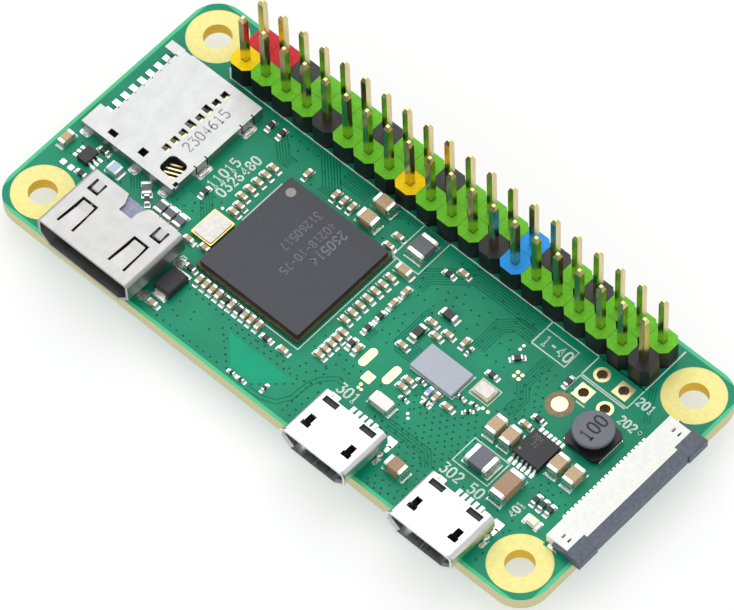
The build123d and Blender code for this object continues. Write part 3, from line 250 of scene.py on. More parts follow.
def solder_mask_material(name, over_copper, rim):
    """Photo-imaged epoxy solder mask: a glossy dyed film whose tone shows what lies under it.

    Over the copper pour it is mid green, over bare laminate at the rim the light comes back through
    the board and it is paler. The film lies a little unevenly, which breaks its reflections.
    """
    material, tree, shader, place = new_material(name)
    drift = grain(tree, place, 4.0, 2, spread=0.15)[1]
    weave, fine = grain(tree, place, 0.35, 3)
    tone = mix_colour(tree, drift, shaded(over_copper, 0.82), shaded(over_copper, 1.15))
    tone = mix_colour(tree, fine, tone, over_copper)
    pale = add(tree, "ShaderNodeMapRange", {"Value": rim_distance(tree, place),
                                            "From Min": RIM_WIDTH * MM,
                                            "From Max": (RIM_WIDTH - RIM_BLEND) * MM})
    tone = mix_colour(tree, pale.outputs[0], tone, rim)
    tree.links.new(tone, shader.inputs["Base Color"])
    shader.inputs["Roughness"].default_value = 0.3
    shader.inputs["IOR"].default_value = 1.52
    shader.inputs["Specular IOR Level"].default_value = 0.2
    roughen(tree, shader, weave, 0.004)
    return material


def laminate_material(colours):
    """Woven glass in epoxy: pale straw on its face, tan at its rim, and amber where it is drilled, the
    amber made brighter as painted light against the shade inside the holes.

    The layers of cloth show as faint bands round the rim and down the holes.
    """
    material, tree, shader, place = new_material("glass_epoxy_laminate")
    face = list(colours.laminate)
    weave, fine = grain(tree, place, 0.5, 4)
    layers = add(tree, "ShaderNodeTexWave", {"Vector": place, "Scale": 1 / (1.2 * MM),
                                             "Distortion": 2.0, "Detail": 2.0},
                 wave_type="BANDS", bands_direction="Z").outputs["Fac"]
    face_tone = mix_colour(tree, fine, shaded(face, 0.93), shaded(face, 1.04))
    rim_tone = mix_colour(tree, layers, "#B9AE6E", "#D6CFA6")
    # Amber of the drilled walls, the laminate's own colour, painted brighter as painted light to make up
    # for the shade down the holes.
    wall_amber_painted_light = mix_colour(tree, layers, "#D9B20E", "#EBCB2A")
    at_rim = add(tree, "ShaderNodeMath", {0: rim_distance(tree, place), 1: HOLE_MARGIN * MM},
                 operation="LESS_THAN")
    side_tone = mix_colour(tree, at_rim.outputs[0], wall_amber_painted_light, rim_tone)
    normal = add(tree, "ShaderNodeNewGeometry").outputs["Normal"]
    up = add(tree, "ShaderNodeSeparateXYZ", {"Vector": normal})
    flat = add(tree, "ShaderNodeMath", {0: up.outputs["Z"]}, operation="ABSOLUTE")
    tone = mix_colour(tree, flat.outputs[0], side_tone, face_tone)
    tree.links.new(tone, shader.inputs["Base Color"])
    shader.inputs["Roughness"].default_value = 0.5
    shader.inputs["Subsurface Weight"].default_value = 0.15
    shader.inputs["Subsurface Radius"].default_value = mm(0.6, 0.5, 0.2)
    shader.inputs["Subsurface Scale"].default_value = 1.0
    roughen(tree, shader, weave, 0.006)
    return material


def stamped_steel(name, low, high, roughness):
    """Nickel-plated steel strip, rolled then stamped: bright, with faint rolling lines one way."""
    material, tree, shader, place = new_material(name)
    rolled = add(tree, "ShaderNodeMapping", {"Vector": place, "Scale": (1.0, 0.06, 1.0)})
    lines, full = grain(tree, rolled.outputs[0], 0.08, 3)
    cloud = grain(tree, place, 1.5, 2)[0]
    tree.links.new(mix_colour(tree, cloud, low, high), shader.inputs["Base Color"])
    shader.inputs["Metallic"].default_value = 1.0
    spread = add(tree, "ShaderNodeMapRange", {"Value": full, "To Min": roughness - 0.05,
                                              "To Max": roughness + 0.08})
    tree.links.new(spread.outputs[0], shader.inputs["Roughness"])
    roughen(tree, shader, lines, 0.0012)
    return material


MATERIALS = {}


def make_materials(colours):
    """Every finish on the board, by the name of what it really is."""
    m = MATERIALS
    mask = list(colours.mask)
    # Solder mask over the copper pour: glossy mid green, paler along the board's edge.
    m["mask"] = solder_mask_material("epoxy_solder_mask", mask, list(colours.mask_edge))
    # The same film over bare laminate: brighter, because no copper lies under it.
    m["mask_window"] = surface("epoxy_mask_on_bare_laminate", shaded(list(colours.mask_window), 0.94),
                               shaded(list(colours.mask_window), 1.05), 1.5, 0.3, bump_mm=0.003,
                               Specular_IOR_Level=0.15)
    # Film dished into a plugged via: a small dark dimple.
    m["mask_via"] = surface("epoxy_mask_in_vias", shaded(mask, 0.22), shaded(mask, 0.36), 0.2, 0.35,
                            Specular_IOR_Level=0.2)
    # Between tracks the film lies straight on the laminate, so the gaps read darker.
    m["mask_gap"] = surface("epoxy_mask_between_tracks", shaded(mask, 0.66), shaded(mask, 0.84), 0.9,
                            0.3, Specular_IOR_Level=0.2)
    # A clearance ring with neither copper nor mask: tanned epoxy over the inner plane.
    m["bare_ring"] = surface("bare_epoxy_over_plane", "#7C6C4C", "#96855E", 0.3, 0.5)
    # Glass epoxy, bare round the mounting holes and along the edge: straw, layered and matt.
    m["laminate"] = laminate_material(colours)
    # Glass-filled nylon, moulded and cut: black with a soft sheen.
    m["header_plastic"] = surface("glass_filled_nylon_black", "#0A0A0D", "#15151A",
                                  0.25, 0.42, bump_mm=0.004)
    # Pad-printed epoxy inks: satin, slightly thin at the edges.
    for key in ("ink_green", "ink_yellow", "ink_red", "ink_blue"):
        tone = list(getattr(colours, key))
        m[key] = surface("epoxy_" + key, shaded(tone, 0.9), shaded(tone, 1.08), 0.35, 0.45,
                         bump_mm=0.006, Specular_IOR_Level=0.15)
    # Brass wire with a thin gold flash: warm, dark where it mirrors the board.
    m["pin"] = surface("gold_flashed_brass_wire", "#C9B77C", "#E3D6A4", 0.3, 0.2,
                       metallic=1.0, stretch=(1, 1, 0.1), rough_spread=0.06)
    # Gold over nickel on lands and springs.
    m["gold"] = surface("immersion_gold", "#F1D79A", "#FBEBC2", 0.4, 0.32,
                        metallic=1.0, rough_spread=0.06)
    # The same gold where it lines a bore. Inside the spare pads' bores a dark brown is painted in:
    # painted shade, and a painted reflection of the bore's dark wall.
    painted_bore_shade = [(spot(x, y, -0.7), 0.86, "#4A300C", "#6A4816")
             for x in SPARE_PADS_X for y in SPARE_PADS_Y]
    m["barrel"] = surface("immersion_gold_with_painted_bore_shade", "#F1D79A", "#FBEBC2", 0.4, 0.34,
                          metallic=1.0, spots=painted_bore_shade)
    # Card springs: tinned along their tails, gold only where the card touches.
    tips = [(spot(CARD_TIP_X, CARD_FIRST_TIP_Y + CARD_TIP_PITCH * way, 0.9), 0.75, "#F1D79A",
             "#FBEBC2") for way in range(CARD_WAYS)]
    m["gold_tipped"] = surface("tinned_spring_with_gold_tip", "#DEDEDA", "#FAFAF7",
                               0.3, 0.3, metallic=1.0, rough_spread=0.06, spots=tips)
    # Lead-free solder: bright, a little frosted where it froze.
    m["solder"] = surface("reflowed_tin_solder", "#D9D9D4", "#F6F6F2", 0.2, 0.26,
                          metallic=1.0, bump_mm=0.02, rough_spread=0.1)
    # Plated copper ends of chips, wetted with tin.
    m["tin"] = surface("tinned_end_caps", "#DEDEDA", "#FAFAF7", 0.15, 0.3,
                       metallic=1.0, bump_mm=0.008, rough_spread=0.08)
    # Nickel-plated steel: bright on the small ports, greyer and softer on the others.
    m["video_steel"] = stamped_steel("nickel_plated_steel_matt", "#A2A2A1",
                                     "#B4B4B3", 0.38)
    m["port_steel"] = stamped_steel("nickel_plated_steel_bright", "#D6D8D8",
                                    "#E6E8E8", 0.3)
    m["cover_steel"] = stamped_steel("nickel_plated_steel_satin", "#A8AAAA",
                                     "#BABBBB", 0.38)
    # Liquid-crystal polymer mouldings inside the ports.
    m["port_plastic"] = surface("liquid_crystal_polymer_black", "#131315",
                                "#232327", 0.3, 0.5, bump_mm=0.004)
    # The video port's block is grey, its own colour, where its back comes out under the notch; elsewhere,
    # in and round the port's mouth, it is painted near black as painted shade.
    m["video_plastic_with_painted_shade"] = surface("liquid_crystal_polymer_grey_with_painted_shade", "#1A1A1C",
                                 "#2A2A2E", 0.3, 0.5, bump_mm=0.004,
                                 spots=[(spot(12.35, 35.2, 1.5), 30.0, "#8286A0", "#979BB2")])
    # The ribbon housing is natural resin: warm white and slightly waxy.
    m["ivory"] = surface("natural_nylon_ivory", "#F3F0E8", "#FCFAF5", 0.5, 0.45,
                         bump_mm=0.004, Subsurface_Weight=0.1)
    # The ribbon latch: glass-filled nylon in slate grey.
    m["latch"] = surface("glass_filled_nylon_slate", "#424854", "#586070", 0.3,
                         0.45, bump_mm=0.006)
    # Silica-filled epoxy moulding compound: fine speckle, matt from the mould's spark finish.
    m["mould"] = surface("epoxy_moulding_compound", "#25272F", "#383B46", 0.06, 0.45,
                         bump_mm=0.008, detail=5.0)
    # The small packages are moulded in a blacker grade.
    m["mould_dark"] = surface("epoxy_moulding_compound_dark", "#1A1A1E", "#29292E",
                              0.06, 0.5, bump_mm=0.006, detail=5.0)
    # Laser marks leave the compound a shade paler, and their corner dots paler still.
    m["laser"] = surface("laser_marked_compound", "#6C6C72", "#808086", 0.05, 0.6)
    m["laser_dot"] = surface("laser_dot_on_compound", "#8E8A88", "#A19D9A", 0.05, 0.6)
    # A code etched into the plating: duller than the sheet round it.
    m["etched"] = surface("etched_nickel", "#8E8F90", "#A6A7A8", 0.06, 0.6,
                          metallic=0.6)
    # Ink stamped on the inductor: flat black on the ground ferrite.
    m["black_ink"] = surface("epoxy_ink_black", "#1C1C22", "#26262C", 0.1, 0.5)
    # The lower package's lip is its own laminate: olive brown with faint layers.
    m["substrate"] = surface("package_substrate_edge", "#3A3418", "#5A5228", 0.3,
                             0.45, stretch=(0.2, 0.2, 4))
    # Ground and back-coated silicon of the flip-mounted radio chip.
    m["silicon"] = surface("coated_silicon", "#A6ACB8", "#B6BCC6", 0.08, 0.5,
                           detail=4.0)
    # Fired barium titanate: tan, chalky.
    m["capacitor"] = surface("barium_titanate_tan", "#B09674", "#CDB28C", 0.12,
                             0.5, bump_mm=0.004,
                             spots=[(spot(55.75, 8.2), 2.0, "#A07E62", "#AE8C70"),
                                    (spot(47.2, 3.2), 1.7, "#A07E62", "#AE8C70"),
                                    (spot(43.95, 11.0), 0.6, "#8FA6E0", "#A5B8EA")])
    # Glass over resistive film.
    m["resistor"] = surface("glass_glazed_resistor", "#141417", "#26262B", 0.12,
                            0.25)
    # Pressed and fired ferrite: slate grey and matt with a fine grain.
    m["ferrite"] = surface("sintered_ferrite", "#5A5C66", "#72747E", 0.08, 0.5,
                           bump_mm=0.008, detail=5.0)
    # The drum's skirt is dipped in black varnish, and its top is ground back to the grey.
    low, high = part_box("inductor_core")
    crown = Vector(((low.x + high.x) / 2, (low.y + high.y) / 2, high.z))
    m["drum"] = surface("varnished_ferrite", "#0E0E11", "#1B1B1F", 0.08, 0.4,
                        bump_mm=0.01, detail=5.0,
                        spots=[(crown, 2.02, "#585C66", "#6C707A")])
    # Fired alumina: chalk white, and pale blue on the bead.
    m["ceramic"] = surface("alumina_white", "#F0E9E4", "#FBF7F4", 0.2, 0.45,
                           bump_mm=0.003, spots=[(spot(6.85, 9.45), 1.1, "#A9BFD2", "#BCD0E0")])
    # A brushed lid seamed to its base: pale and soft, since the brushing scatters its reflections.
    m["lid"] = surface("brushed_kovar_lid", "#CFCAC6", "#E2DEDA", 0.4, 0.5,
                       metallic=0.35)
    # The radio crystal's seat is glazed ceramic, tanned where it was fired.
    m["seat"] = surface("glazed_ceramic_seat", "#C9B898", "#E2D6BC", 0.3, 0.4)
    # The main crystal's lid is seamed to a gold-plated ring.
    m["brazed_gold"] = surface("gold_plated_seam", "#E2B95C", "#F2D28A", 0.2, 0.3,
                               metallic=1.0)
    # The winding is bound in black resin, in which its turns just show.
    m["varnish"] = surface("resin_bound_winding", "#0C0B0B", "#2A211C", 0.15, 0.3,
                           stretch=(0.3, 0.3, 2))
    # Clear epoxy over the light's die.
    m["lens"] = surface("clear_epoxy_lens", "#EDE6C8", "#FBF6E2", 0.2, 0.12)
    # Screen-printed legend ink.
    silk = list(colours.silk)
    m["silk"] = surface("legend_ink_white", shaded(silk, 0.92), silk, 0.12, 0.5)


NODE_FINISHES = {
    "solder_mask_top": "mask", "solder_mask_bottom": "mask", "pcb_laminate": "laminate",
    "plated_barrels": "barrel", "header_body": "header_plastic", "header_pins": "pin",
    "header_solder": "solder", "video_port_shell": "video_steel",
    "video_port_insulator": "video_plastic_with_painted_shade", "video_port_contacts": "gold",
    "data_port_shell": "port_steel", "data_port_tongue": "port_plastic",
    "data_port_contacts": "tin", "power_port_shell": "port_steel",
    "power_port_tongue": "port_plastic", "power_port_contacts": "tin",
    "card_socket_cover": "cover_steel", "card_socket_base": "port_plastic",
    "card_socket_contacts": "gold_tipped", "card_present_springs": "gold",
    "ribbon_connector_body": "ivory", "ribbon_latch": "latch", "ribbon_contacts": "tin",
    "ribbon_hold_downs": "tin", "processor_package": "substrate", "memory_package": "mould",
    "processor_solder_balls": "solder", "memory_solder_balls": "solder",
    "regulator_body": "mould_dark", "regulator_leads": "tin", "six_lead_chip_body": "mould_dark",
    "six_lead_chip_leads": "tin", "diode_body": "mould_dark", "diode_leads": "tin",
    "main_crystal_base": "brazed_gold", "main_crystal_lid": "lid",
    "radio_crystal_base": "seat", "radio_crystal_lid": "lid", "radio_chip": "silicon",
    "radio_chip_solder_balls": "solder", "inductor_core": "drum", "inductor_winding": "varnish",
    "inductor_feet": "tin", "indicator_carrier": "ceramic", "indicator_lens": "lens",
    "indicator_ends": "tin", "small_capacitor_bodies": "capacitor",
    "large_capacitor_bodies": "capacitor", "resistor_bodies": "resistor",
    "resistor_array_bodies": "ferrite", "ceramic_filter_bodies": "ceramic",
    "choke_bodies": "ferrite", "small_capacitor_ends": "tin", "large_capacitor_ends": "tin",
    "resistor_ends": "tin", "resistor_array_ends": "tin", "ceramic_filter_ends": "tin",
    "choke_ends": "tin",
}


def dress(node, material):
    """Give a CAD node its finish."""
    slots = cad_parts[node].data.materials
    slots.clear()
    slots.append(material)


# ----- Mesh making -----------------------------------------------------------------------------
def piece_from(name, mesh_or_bm, material, body=BOARD):
    """Link a mesh as a piece that rides on a body."""
    if isinstance(mesh_or_bm, bmesh.types.BMesh):
        mesh = bpy.data.meshes.new(name)
        bmesh.ops.recalc_face_normals(mesh_or_bm, faces=mesh_or_bm.faces)
        mesh_or_bm.to_mesh(mesh)
        mesh_or_bm.free()
    else:
        mesh = mesh_or_bm
        mesh.name = name
    if not mesh.materials:
        mesh.materials.append(material)
    piece = bpy.data.objects.new(name, mesh)
    bpy.context.scene.collection.objects.link(piece)
    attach(piece, body)
    return piece


def prism(bm, outline, z0, z1, place=None):
    """Raise an outline of (x, y) points in metres between two heights, and return its vertices."""
    place = place or Matrix.Identity(4)
    low = [bm.verts.new(place @ Vector((x, y, z0))) for x, y in outline]
    high = [bm.verts.new(place @ Vector((x, y, z1))) for x, y in outline]
    bm.faces.new(list(reversed(low)))
    bm.faces.new(high)
    count = len(outline)
    for i in range(count):
        j = (i + 1) % count
        bm.faces.new([low[i], low[j], high[j], high[i]])
    return low + high


def rounded_outline(width, depth, radius, steps=4):
    """A rectangle's outline with round corners, about its centre."""
    points = []
    for sx, sy, start in ((1, 1, 0), (-1, 1, 90), (-1, -1, 180), (1, -1, 270)):
        cx = sx * (width / 2 - radius)
        cy = sy * (depth / 2 - radius)
        for step in range(steps + 1):
            angle = math.radians(start + 90 * step / steps)
            points.append((cx + radius * math.cos(angle), cy + radius * math.sin(angle)))
    return points


def plate(bm, x, y, width, depth, radius, rise0, rise1, turn=0.0):
    """A rounded plate on the board's top, placed and sized in mm."""
    outline = [(a * MM, b * MM) for a, b in rounded_outline(width, depth, radius)]
    place = Matrix.Translation(spot(x, y)) @ Matrix.Rotation(math.radians(turn), 4, "Z")
    prism(bm, outline, rise0 * MM, rise1 * MM, place)


def islands(node):
    """The separate solids of a CAD node, each as a list of its corner points."""
    bm = bmesh.new()
    bm.from_mesh(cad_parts[node].data)
    bmesh.ops.remove_doubles(bm, verts=bm.verts, dist=1e-7)
    seen = set()
    found = []
    for start in bm.verts:
        if start.index in seen:
            continue
        seen.add(start.index)
        queue = [start]
        group = []
        while queue:
            vert = queue.pop()
            group.append(vert.co.copy())
            for edge in vert.link_edges:
                other = edge.other_vert(vert)
                if other.index not in seen:
                    seen.add(other.index)
                    queue.append(other)
        found.append(group)
    bm.free()
    return found


def extent(points):
    """The lowest and highest corners of some points."""
    low = Vector(min(p[i] for p in points) for i in range(3))
    high = Vector(max(p[i] for p in points) for i in range(3))
    return low, high


def middle_of(points):
    """The middle of some points' box."""
    low, high = extent(points)
    return (low + high) / 2


def chip_layout(family):
    """Each chip of a family: centre on the board, turn, length, width, height and end band."""
    caps = [(middle_of(group), group) for group in islands(family + "_ends")]
    layout = []
    for group in islands(family + "_bodies"):
        centre = middle_of(group)
        near = sorted(caps, key=lambda cap: (cap[0] - centre).length)[:2]
        axis = near[1][0] - near[0][0]
        axis.z = 0
        turn = math.atan2(axis.y, axis.x)
        along = axis.normalized()
        across = Vector((-along.y, along.x, 0))
        points = near[0][1] + near[1][1]
        reach = [p.dot(along) for p in points]
        band = [p.dot(along) for p in near[0][1]]
        side = [p.dot(across) for p in points]
        low, high = extent(points)
        centre.z = low.z
        layout.append((centre, turn, max(reach) - min(reach), max(side) - min(side),
                       high.z - low.z, max(band) - min(band)))
    return layout


# ----- Geometry node trees ---------------------------------------------------------------------
def tree_socket(tree, name, kind, way="INPUT", default=None):
    """A named socket on a geometry node tree."""
    socket = tree.interface.new_socket(name=name, in_out=way, socket_type=kind)
    if default is not None:
        socket.default_value = default
    return socket


def copies_tree():
    """A tree that sets a copy of one object on every point, turned and sized by the points."""
    tree = bpy.data.node_groups.new("copies_on_points", "GeometryNodeTree")
    tree_socket(tree, "Geometry", "NodeSocketGeometry")
    tree_socket(tree, "Piece", "NodeSocketObject")
    tree_socket(tree, "Finish", "NodeSocketMaterial")
    tree_socket(tree, "Uneven", "NodeSocketFloat", default=0.0)
    tree_socket(tree, "Seed", "NodeSocketInt", default=7)
    tree_socket(tree, "Geometry", "NodeSocketGeometry", way="OUTPUT")
    start = add(tree, "NodeGroupInput").outputs
    shape = add(tree, "GeometryNodeObjectInfo", {"Object": start["Piece"]})
    size = add(tree, "GeometryNodeInputNamedAttribute", {"Name": "size"}, data_type="FLOAT_VECTOR")
    turn = add(tree, "GeometryNodeInputNamedAttribute", {"Name": "turn"}, data_type="FLOAT_VECTOR")
    low = add(tree, "ShaderNodeMath", {0: 1.0, 1: start["Uneven"]}, operation="SUBTRACT")
    high = add(tree, "ShaderNodeMath", {0: 1.0, 1: start["Uneven"]}, operation="ADD")
    low3 = add(tree, "ShaderNodeCombineXYZ", {axis: low.outputs[0] for axis in "XYZ"})
    high3 = add(tree, "ShaderNodeCombineXYZ", {axis: high.outputs[0] for axis in "XYZ"})
    wobble = add(tree, "FunctionNodeRandomValue", {"Min": low3.outputs[0], "Max": high3.outputs[0],
                                                   "Seed": start["Seed"]},
                 data_type="FLOAT_VECTOR")
    scale = add(tree, "ShaderNodeVectorMath", {0: size.outputs["Attribute"],
                                               1: wobble.outputs["Value"]}, operation="MULTIPLY")
    turned = add(tree, "FunctionNodeEulerToRotation", {"Euler": turn.outputs["Attribute"]})
    copies = add(tree, "GeometryNodeInstanceOnPoints", {
        "Points": start["Geometry"], "Instance": shape.outputs["Geometry"],
        "Rotation": turned.outputs[0], "Scale": scale.outputs[0]})
    real = add(tree, "GeometryNodeRealizeInstances", {"Geometry": copies.outputs[0]})
    done = add(tree, "GeometryNodeSetMaterial", {"Geometry": real.outputs[0],
                                                 "Material": start["Finish"]})
    add(tree, "NodeGroupOutput", {"Geometry": done.outputs[0]})
    return tree


def ribbons_tree():
    """A tree that lays a flat strip of a width and thickness along every run of edges."""
    tree = bpy.data.node_groups.new("ribbons_on_edges", "GeometryNodeTree")
    tree_socket(tree, "Geometry", "NodeSocketGeometry")
    tree_socket(tree, "Width", "NodeSocketFloat", default=0.00015)
    tree_socket(tree, "Thickness", "NodeSocketFloat", default=0.00001)
    tree_socket(tree, "Finish", "NodeSocketMaterial")
    tree_socket(tree, "Geometry", "NodeSocketGeometry", way="OUTPUT")
    start = add(tree, "NodeGroupInput").outputs
    runs = add(tree, "GeometryNodeMeshToCurve", {"Mesh": start["Geometry"]})
    level = add(tree, "GeometryNodeSetCurveNormal", {"Curve": runs.outputs[0]}, mode="Z_UP")
    section = add(tree, "GeometryNodeCurvePrimitiveQuadrilateral",
                  {"Width": start["Width"], "Height": start["Thickness"]})
    strip = add(tree, "GeometryNodeCurveToMesh", {"Curve": level.outputs[0],
                                                  "Profile Curve": section.outputs[0],
                                                  "Fill Caps": True})
    real = add(tree, "GeometryNodeRealizeInstances", {"Geometry": strip.outputs[0]})
    done = add(tree, "GeometryNodeSetMaterial", {"Geometry": real.outputs[0],
                                                 "Material": start["Finish"]})
    add(tree, "NodeGroupOutput", {"Geometry": done.outputs[0]})
    return tree


TREES = {}


def grown(name, base, tree, values, material):
    """Run a tree on a base mesh and keep the result as one plain piece."""
    holder = bpy.data.objects.new(name + "_base", base)
    bpy.context.scene.collection.objects.link(holder)
    modifier = holder.modifiers.new("grow", "NODES")
    modifier.node_group = tree
    for item in tree.interface.items_tree:
        if item.item_type == "SOCKET" and item.in_out == "INPUT" and item.name in values:
            modifier[item.identifier] = values[item.name]
    bpy.context.view_layer.update()
    graph = bpy.context.evaluated_depsgraph_get()
    mesh = bpy.data.meshes.new_from_object(holder.evaluated_get(graph))
    holder.modifiers.remove(modifier)
    bpy.data.objects.remove(holder)
    if not mesh.vertices:
        raise RuntimeError(f"{name} came out empty")
    mesh.materials.clear()
    return piece_from(name, mesh, material)


def copies(name, shape, places, material, slot=None, uneven=0.0):
    """A piece made of copies of a bmesh shape. Each place is (point, turn about Z, size)."""
    mesh = bpy.data.meshes.new(name + "_shape")
    bmesh.ops.recalc_face_normals(shape, faces=shape.faces)
    shape.to_mesh(mesh)
    shape.free()
    pattern = bpy.data.objects.new(name + "_shape", mesh)
    bpy.context.scene.collection.objects.link(pattern)
    base = bpy.data.meshes.new(name + "_points")
    base.from_pydata([tuple(point) for point, _, _ in places], [], [])
    sizes = base.attributes.new("size", "FLOAT_VECTOR", "POINT")
    turns = base.attributes.new("turn", "FLOAT_VECTOR", "POINT")
    for index, (_, turn, size) in enumerate(places):
        sizes.data[index].vector = size
        turns.data[index].vector = (0, 0, turn)
    seed = bpy.context.scene.board_sizes.seed
    piece = grown(name, base, TREES["copies"],
                  {"Piece": pattern, "Finish": material, "Uneven": uneven, "Seed": seed},
                  material)
    bpy.data.objects.remove(pattern)
    return piece


def ribbons(name, runs, width, thickness, material):
    """A piece made of flat strips along runs of points."""
    points = []
    edges = []
    for run in runs:
        first = len(points)
        points.extend(tuple(p) for p in run)
        edges.extend((first + i, first + i + 1) for i in range(len(run) - 1))
    base = bpy.data.meshes.new(name + "_runs")
    base.from_pydata(points, edges, [])
    return grown(name, base, TREES["ribbons"],
                 {"Width": width, "Thickness": thickness, "Finish": material}, material)


# ----- Shapes that are copied ------------------------------------------------------------------
DISC_SHOULDER = 0.92                                   # radii at the top of the unit disc's side
DISC_CROWN = 0.5                                       # and of its dished or domed middle


def soft_box(bevel=0.12, segments=2):
    """A unit box on the board with rounded edges, centred in X and Y and standing on Z = 0."""
    bm = bmesh.new()
    bmesh.ops.create_cube(bm, size=1.0)
    bmesh.ops.translate(bm, verts=bm.verts, vec=(0, 0, 0.5))
    bmesh.ops.bevel(bm, geom=list(bm.edges), offset=bevel, segments=segments, profile=0.5,
                    affect="EDGES", clamp_overlap=True)
    return bm


def fillet_shape():
    """A concave ramp of solder: 1 long in X, 1 wide, 1 high against its back face at X = 0."""
    bm = bmesh.new()
    profile = [(-0.1, 0), (1.0, 0), (1.0, 0.08), (0.62, 0.16), (0.34, 0.34), (0.14, 0.66),
               (0.02, 1.0), (-0.1, 1.0)]
    rows = []
    for y, pull in ((-0.5, 0.86), (-0.4, 1.0), (0.4, 1.0), (0.5, 0.86)):
        rows.append([bm.verts.new((x * (pull if x > 0 else 1), y, z * (0.9 if pull < 1 else 1)))
                     for x, z in profile])
    for a, b in zip(rows, rows[1:]):
        for i in range(len(profile)):
            j = (i + 1) % len(profile)
            bm.faces.new([a[i], a[j], b[j], b[i]])
    bm.faces.new(rows[0])
    bm.faces.new(list(reversed(rows[-1])))
    return bm


def disc_shape(steps, dish):
    """A unit disc 1 high with a sloping side, its middle dished or, below zero, domed."""
    bm = bmesh.new()
    foot = []
    shoulder = []
    crown = []
    for step in range(steps):
        angle = 2 * math.pi * step / steps
        c, s = math.cos(angle), math.sin(angle)
        foot.append(bm.verts.new((c, s, 0)))
        shoulder.append(bm.verts.new((DISC_SHOULDER * c, DISC_SHOULDER * s, 1)))
        crown.append(bm.verts.new((DISC_CROWN * c, DISC_CROWN * s, 1 - dish)))
    centre = bm.verts.new((0, 0, 1 - dish))
    for i in range(steps):
        j = (i + 1) % steps
        bm.faces.new([foot[i], foot[j], shoulder[j], shoulder[i]])
        bm.faces.new([shoulder[i], shoulder[j], crown[j], crown[i]])
        bm.faces.new([crown[i], crown[j], centre])
    bm.faces.new(list(reversed(foot)))
    return bm


# ----- Operators -------------------------------------------------------------------------------
class BOARD_OT_finishes(bpy.types.Operator):
    """Make every material and give each CAD piece its own"""
    bl_idname = "board.finishes"
    bl_label = "Finishes"

    def execute(self, context):
        make_materials(context.scene.board_colours)
        for node, finish in NODE_FINISHES.items():
            dress(node, MATERIALS[finish])
        TREES["copies"] = copies_tree()
        TREES["ribbons"] = ribbons_tree()
        return {"FINISHED"}


CHIP_FAMILIES = ("small_capacitor", "large_capacitor", "resistor", "ceramic_filter", "choke",
                 "resistor_array")
# Solder on a chip's ends: shares of the chip's width and height, then lengths in mm
FILLET_WIDTH = 0.94
FILLET_HEIGHT = 0.62
FILLET_RUN = 0.1
LAND_UNDER = 0.05
LAND_MARGIN = 0.06


class BOARD_OT_chips(bpy.types.Operator):
    """Round the end caps of the chip components and solder them to their lands"""
    bl_idname = "board.chips"
    bl_label = "Chip ends and solder"

    def execute(self, context):
        sizes = context.scene.board_sizes
        toe = sizes.toe
        film = sizes.film
        for family in CHIP_FAMILIES:
            caps = []
            fillets = []
            lands = []
            for centre, turn, length, width, height, band in chip_layout(family):
                along = Vector((math.cos(turn), math.sin(turn), 0))
                for side in (1, -1):
                    out = along * side
                    angle = turn if side > 0 else turn + math.pi
                    caps.append((centre + out * (length - band) / 2, angle,
                                 (band, width, height)))
                    run = min(toe, 0.5 * height + FILLET_RUN * MM)
                    fillets.append((centre + out * length / 2, angle,
                                    (run, width * FILLET_WIDTH, height * FILLET_HEIGHT)))
                    land_l = band + toe + LAND_UNDER * MM
                    lands.append((centre + out * (length / 2 + toe - land_l / 2), angle,
                                  (land_l, width + LAND_MARGIN * MM, film)))
            ends = copies(family + "_caps", soft_box(0.1, 1), caps, MATERIALS["tin"],
                          slot="tinned_metal", uneven=0.012)
            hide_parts(family + "_ends")
            copies(family + "_solder", fillet_shape(), fillets, MATERIALS["solder"],
                   slot="solder", uneven=0.1)
            copies(family + "_lands", soft_box(0.02, 1), lands, MATERIALS["solder"], slot="solder")
        return {"FINISHED"}


# Paint on the header, front row then back row: g green, y yellow, r red, b blue, . bare
INK_ROWS = (
    "yggg.gggyggg.bggggg.",
    "rr.ggg.gg.gggb.g.ggg",
)
INK_NAMES = {"g": "ink_green", "y": "ink_yellow", "r": "ink_red", "b": "ink_blue"}
INK_PIN_GAP = 0.03                                     # mm, ink kept off the pin
INK_CELL_GAP = 0.02                                    # mm, ink kept off the next cell
INK_CORNER = 0.58                                      # mm, cut off each corner of a cell
INK_FLARE = 1.004                                      # how far the film spreads at its foot


def ink_cell(half, pin):
    """Ink over one cell of the header: a square without its corners, open round the pin."""
    cut = half - INK_CORNER * MM
    outline = [(half, cut), (cut, half), (-cut, half), (-half, cut),
               (-half, -cut), (-cut, -half), (cut, -half), (half, -cut)]
    square = [(pin, pin), (-pin, pin), (-pin, -pin), (pin, -pin)]
    bm = bmesh.new()
    ring = [bm.verts.new((x, y, 1.0)) for x, y in outline]
    low_ring = [bm.verts.new((x * INK_FLARE, y * INK_FLARE, 0.0)) for x, y in outline]
    inner = [bm.verts.new((x, y, 1.0)) for x, y in square]
    inner_low = [bm.verts.new((x, y, 0.0)) for x, y in square]
    for i in range(8):
        j = (i + 1) % 8
        bm.faces.new([low_ring[i], low_ring[j], ring[j], ring[i]])
    for i in range(4):
        j = (i + 1) % 4
        bm.faces.new([inner_low[j], inner_low[i], inner[i], inner[j]])
    for i in range(4):
        a, b, c = (2 * i) % 8, (2 * i + 1) % 8, (2 * i + 2) % 8
        j = (i + 1) % 4
        bm.faces.new([ring[a], ring[b], inner[i]])
        bm.faces.new([ring[b], ring[c], inner[j], inner[i]])
        bm.faces.new([low_ring[b], low_ring[a], inner_low[i]])
        bm.faces.new([low_ring[c], low_ring[b], inner_low[i], inner_low[j]])
    return bm


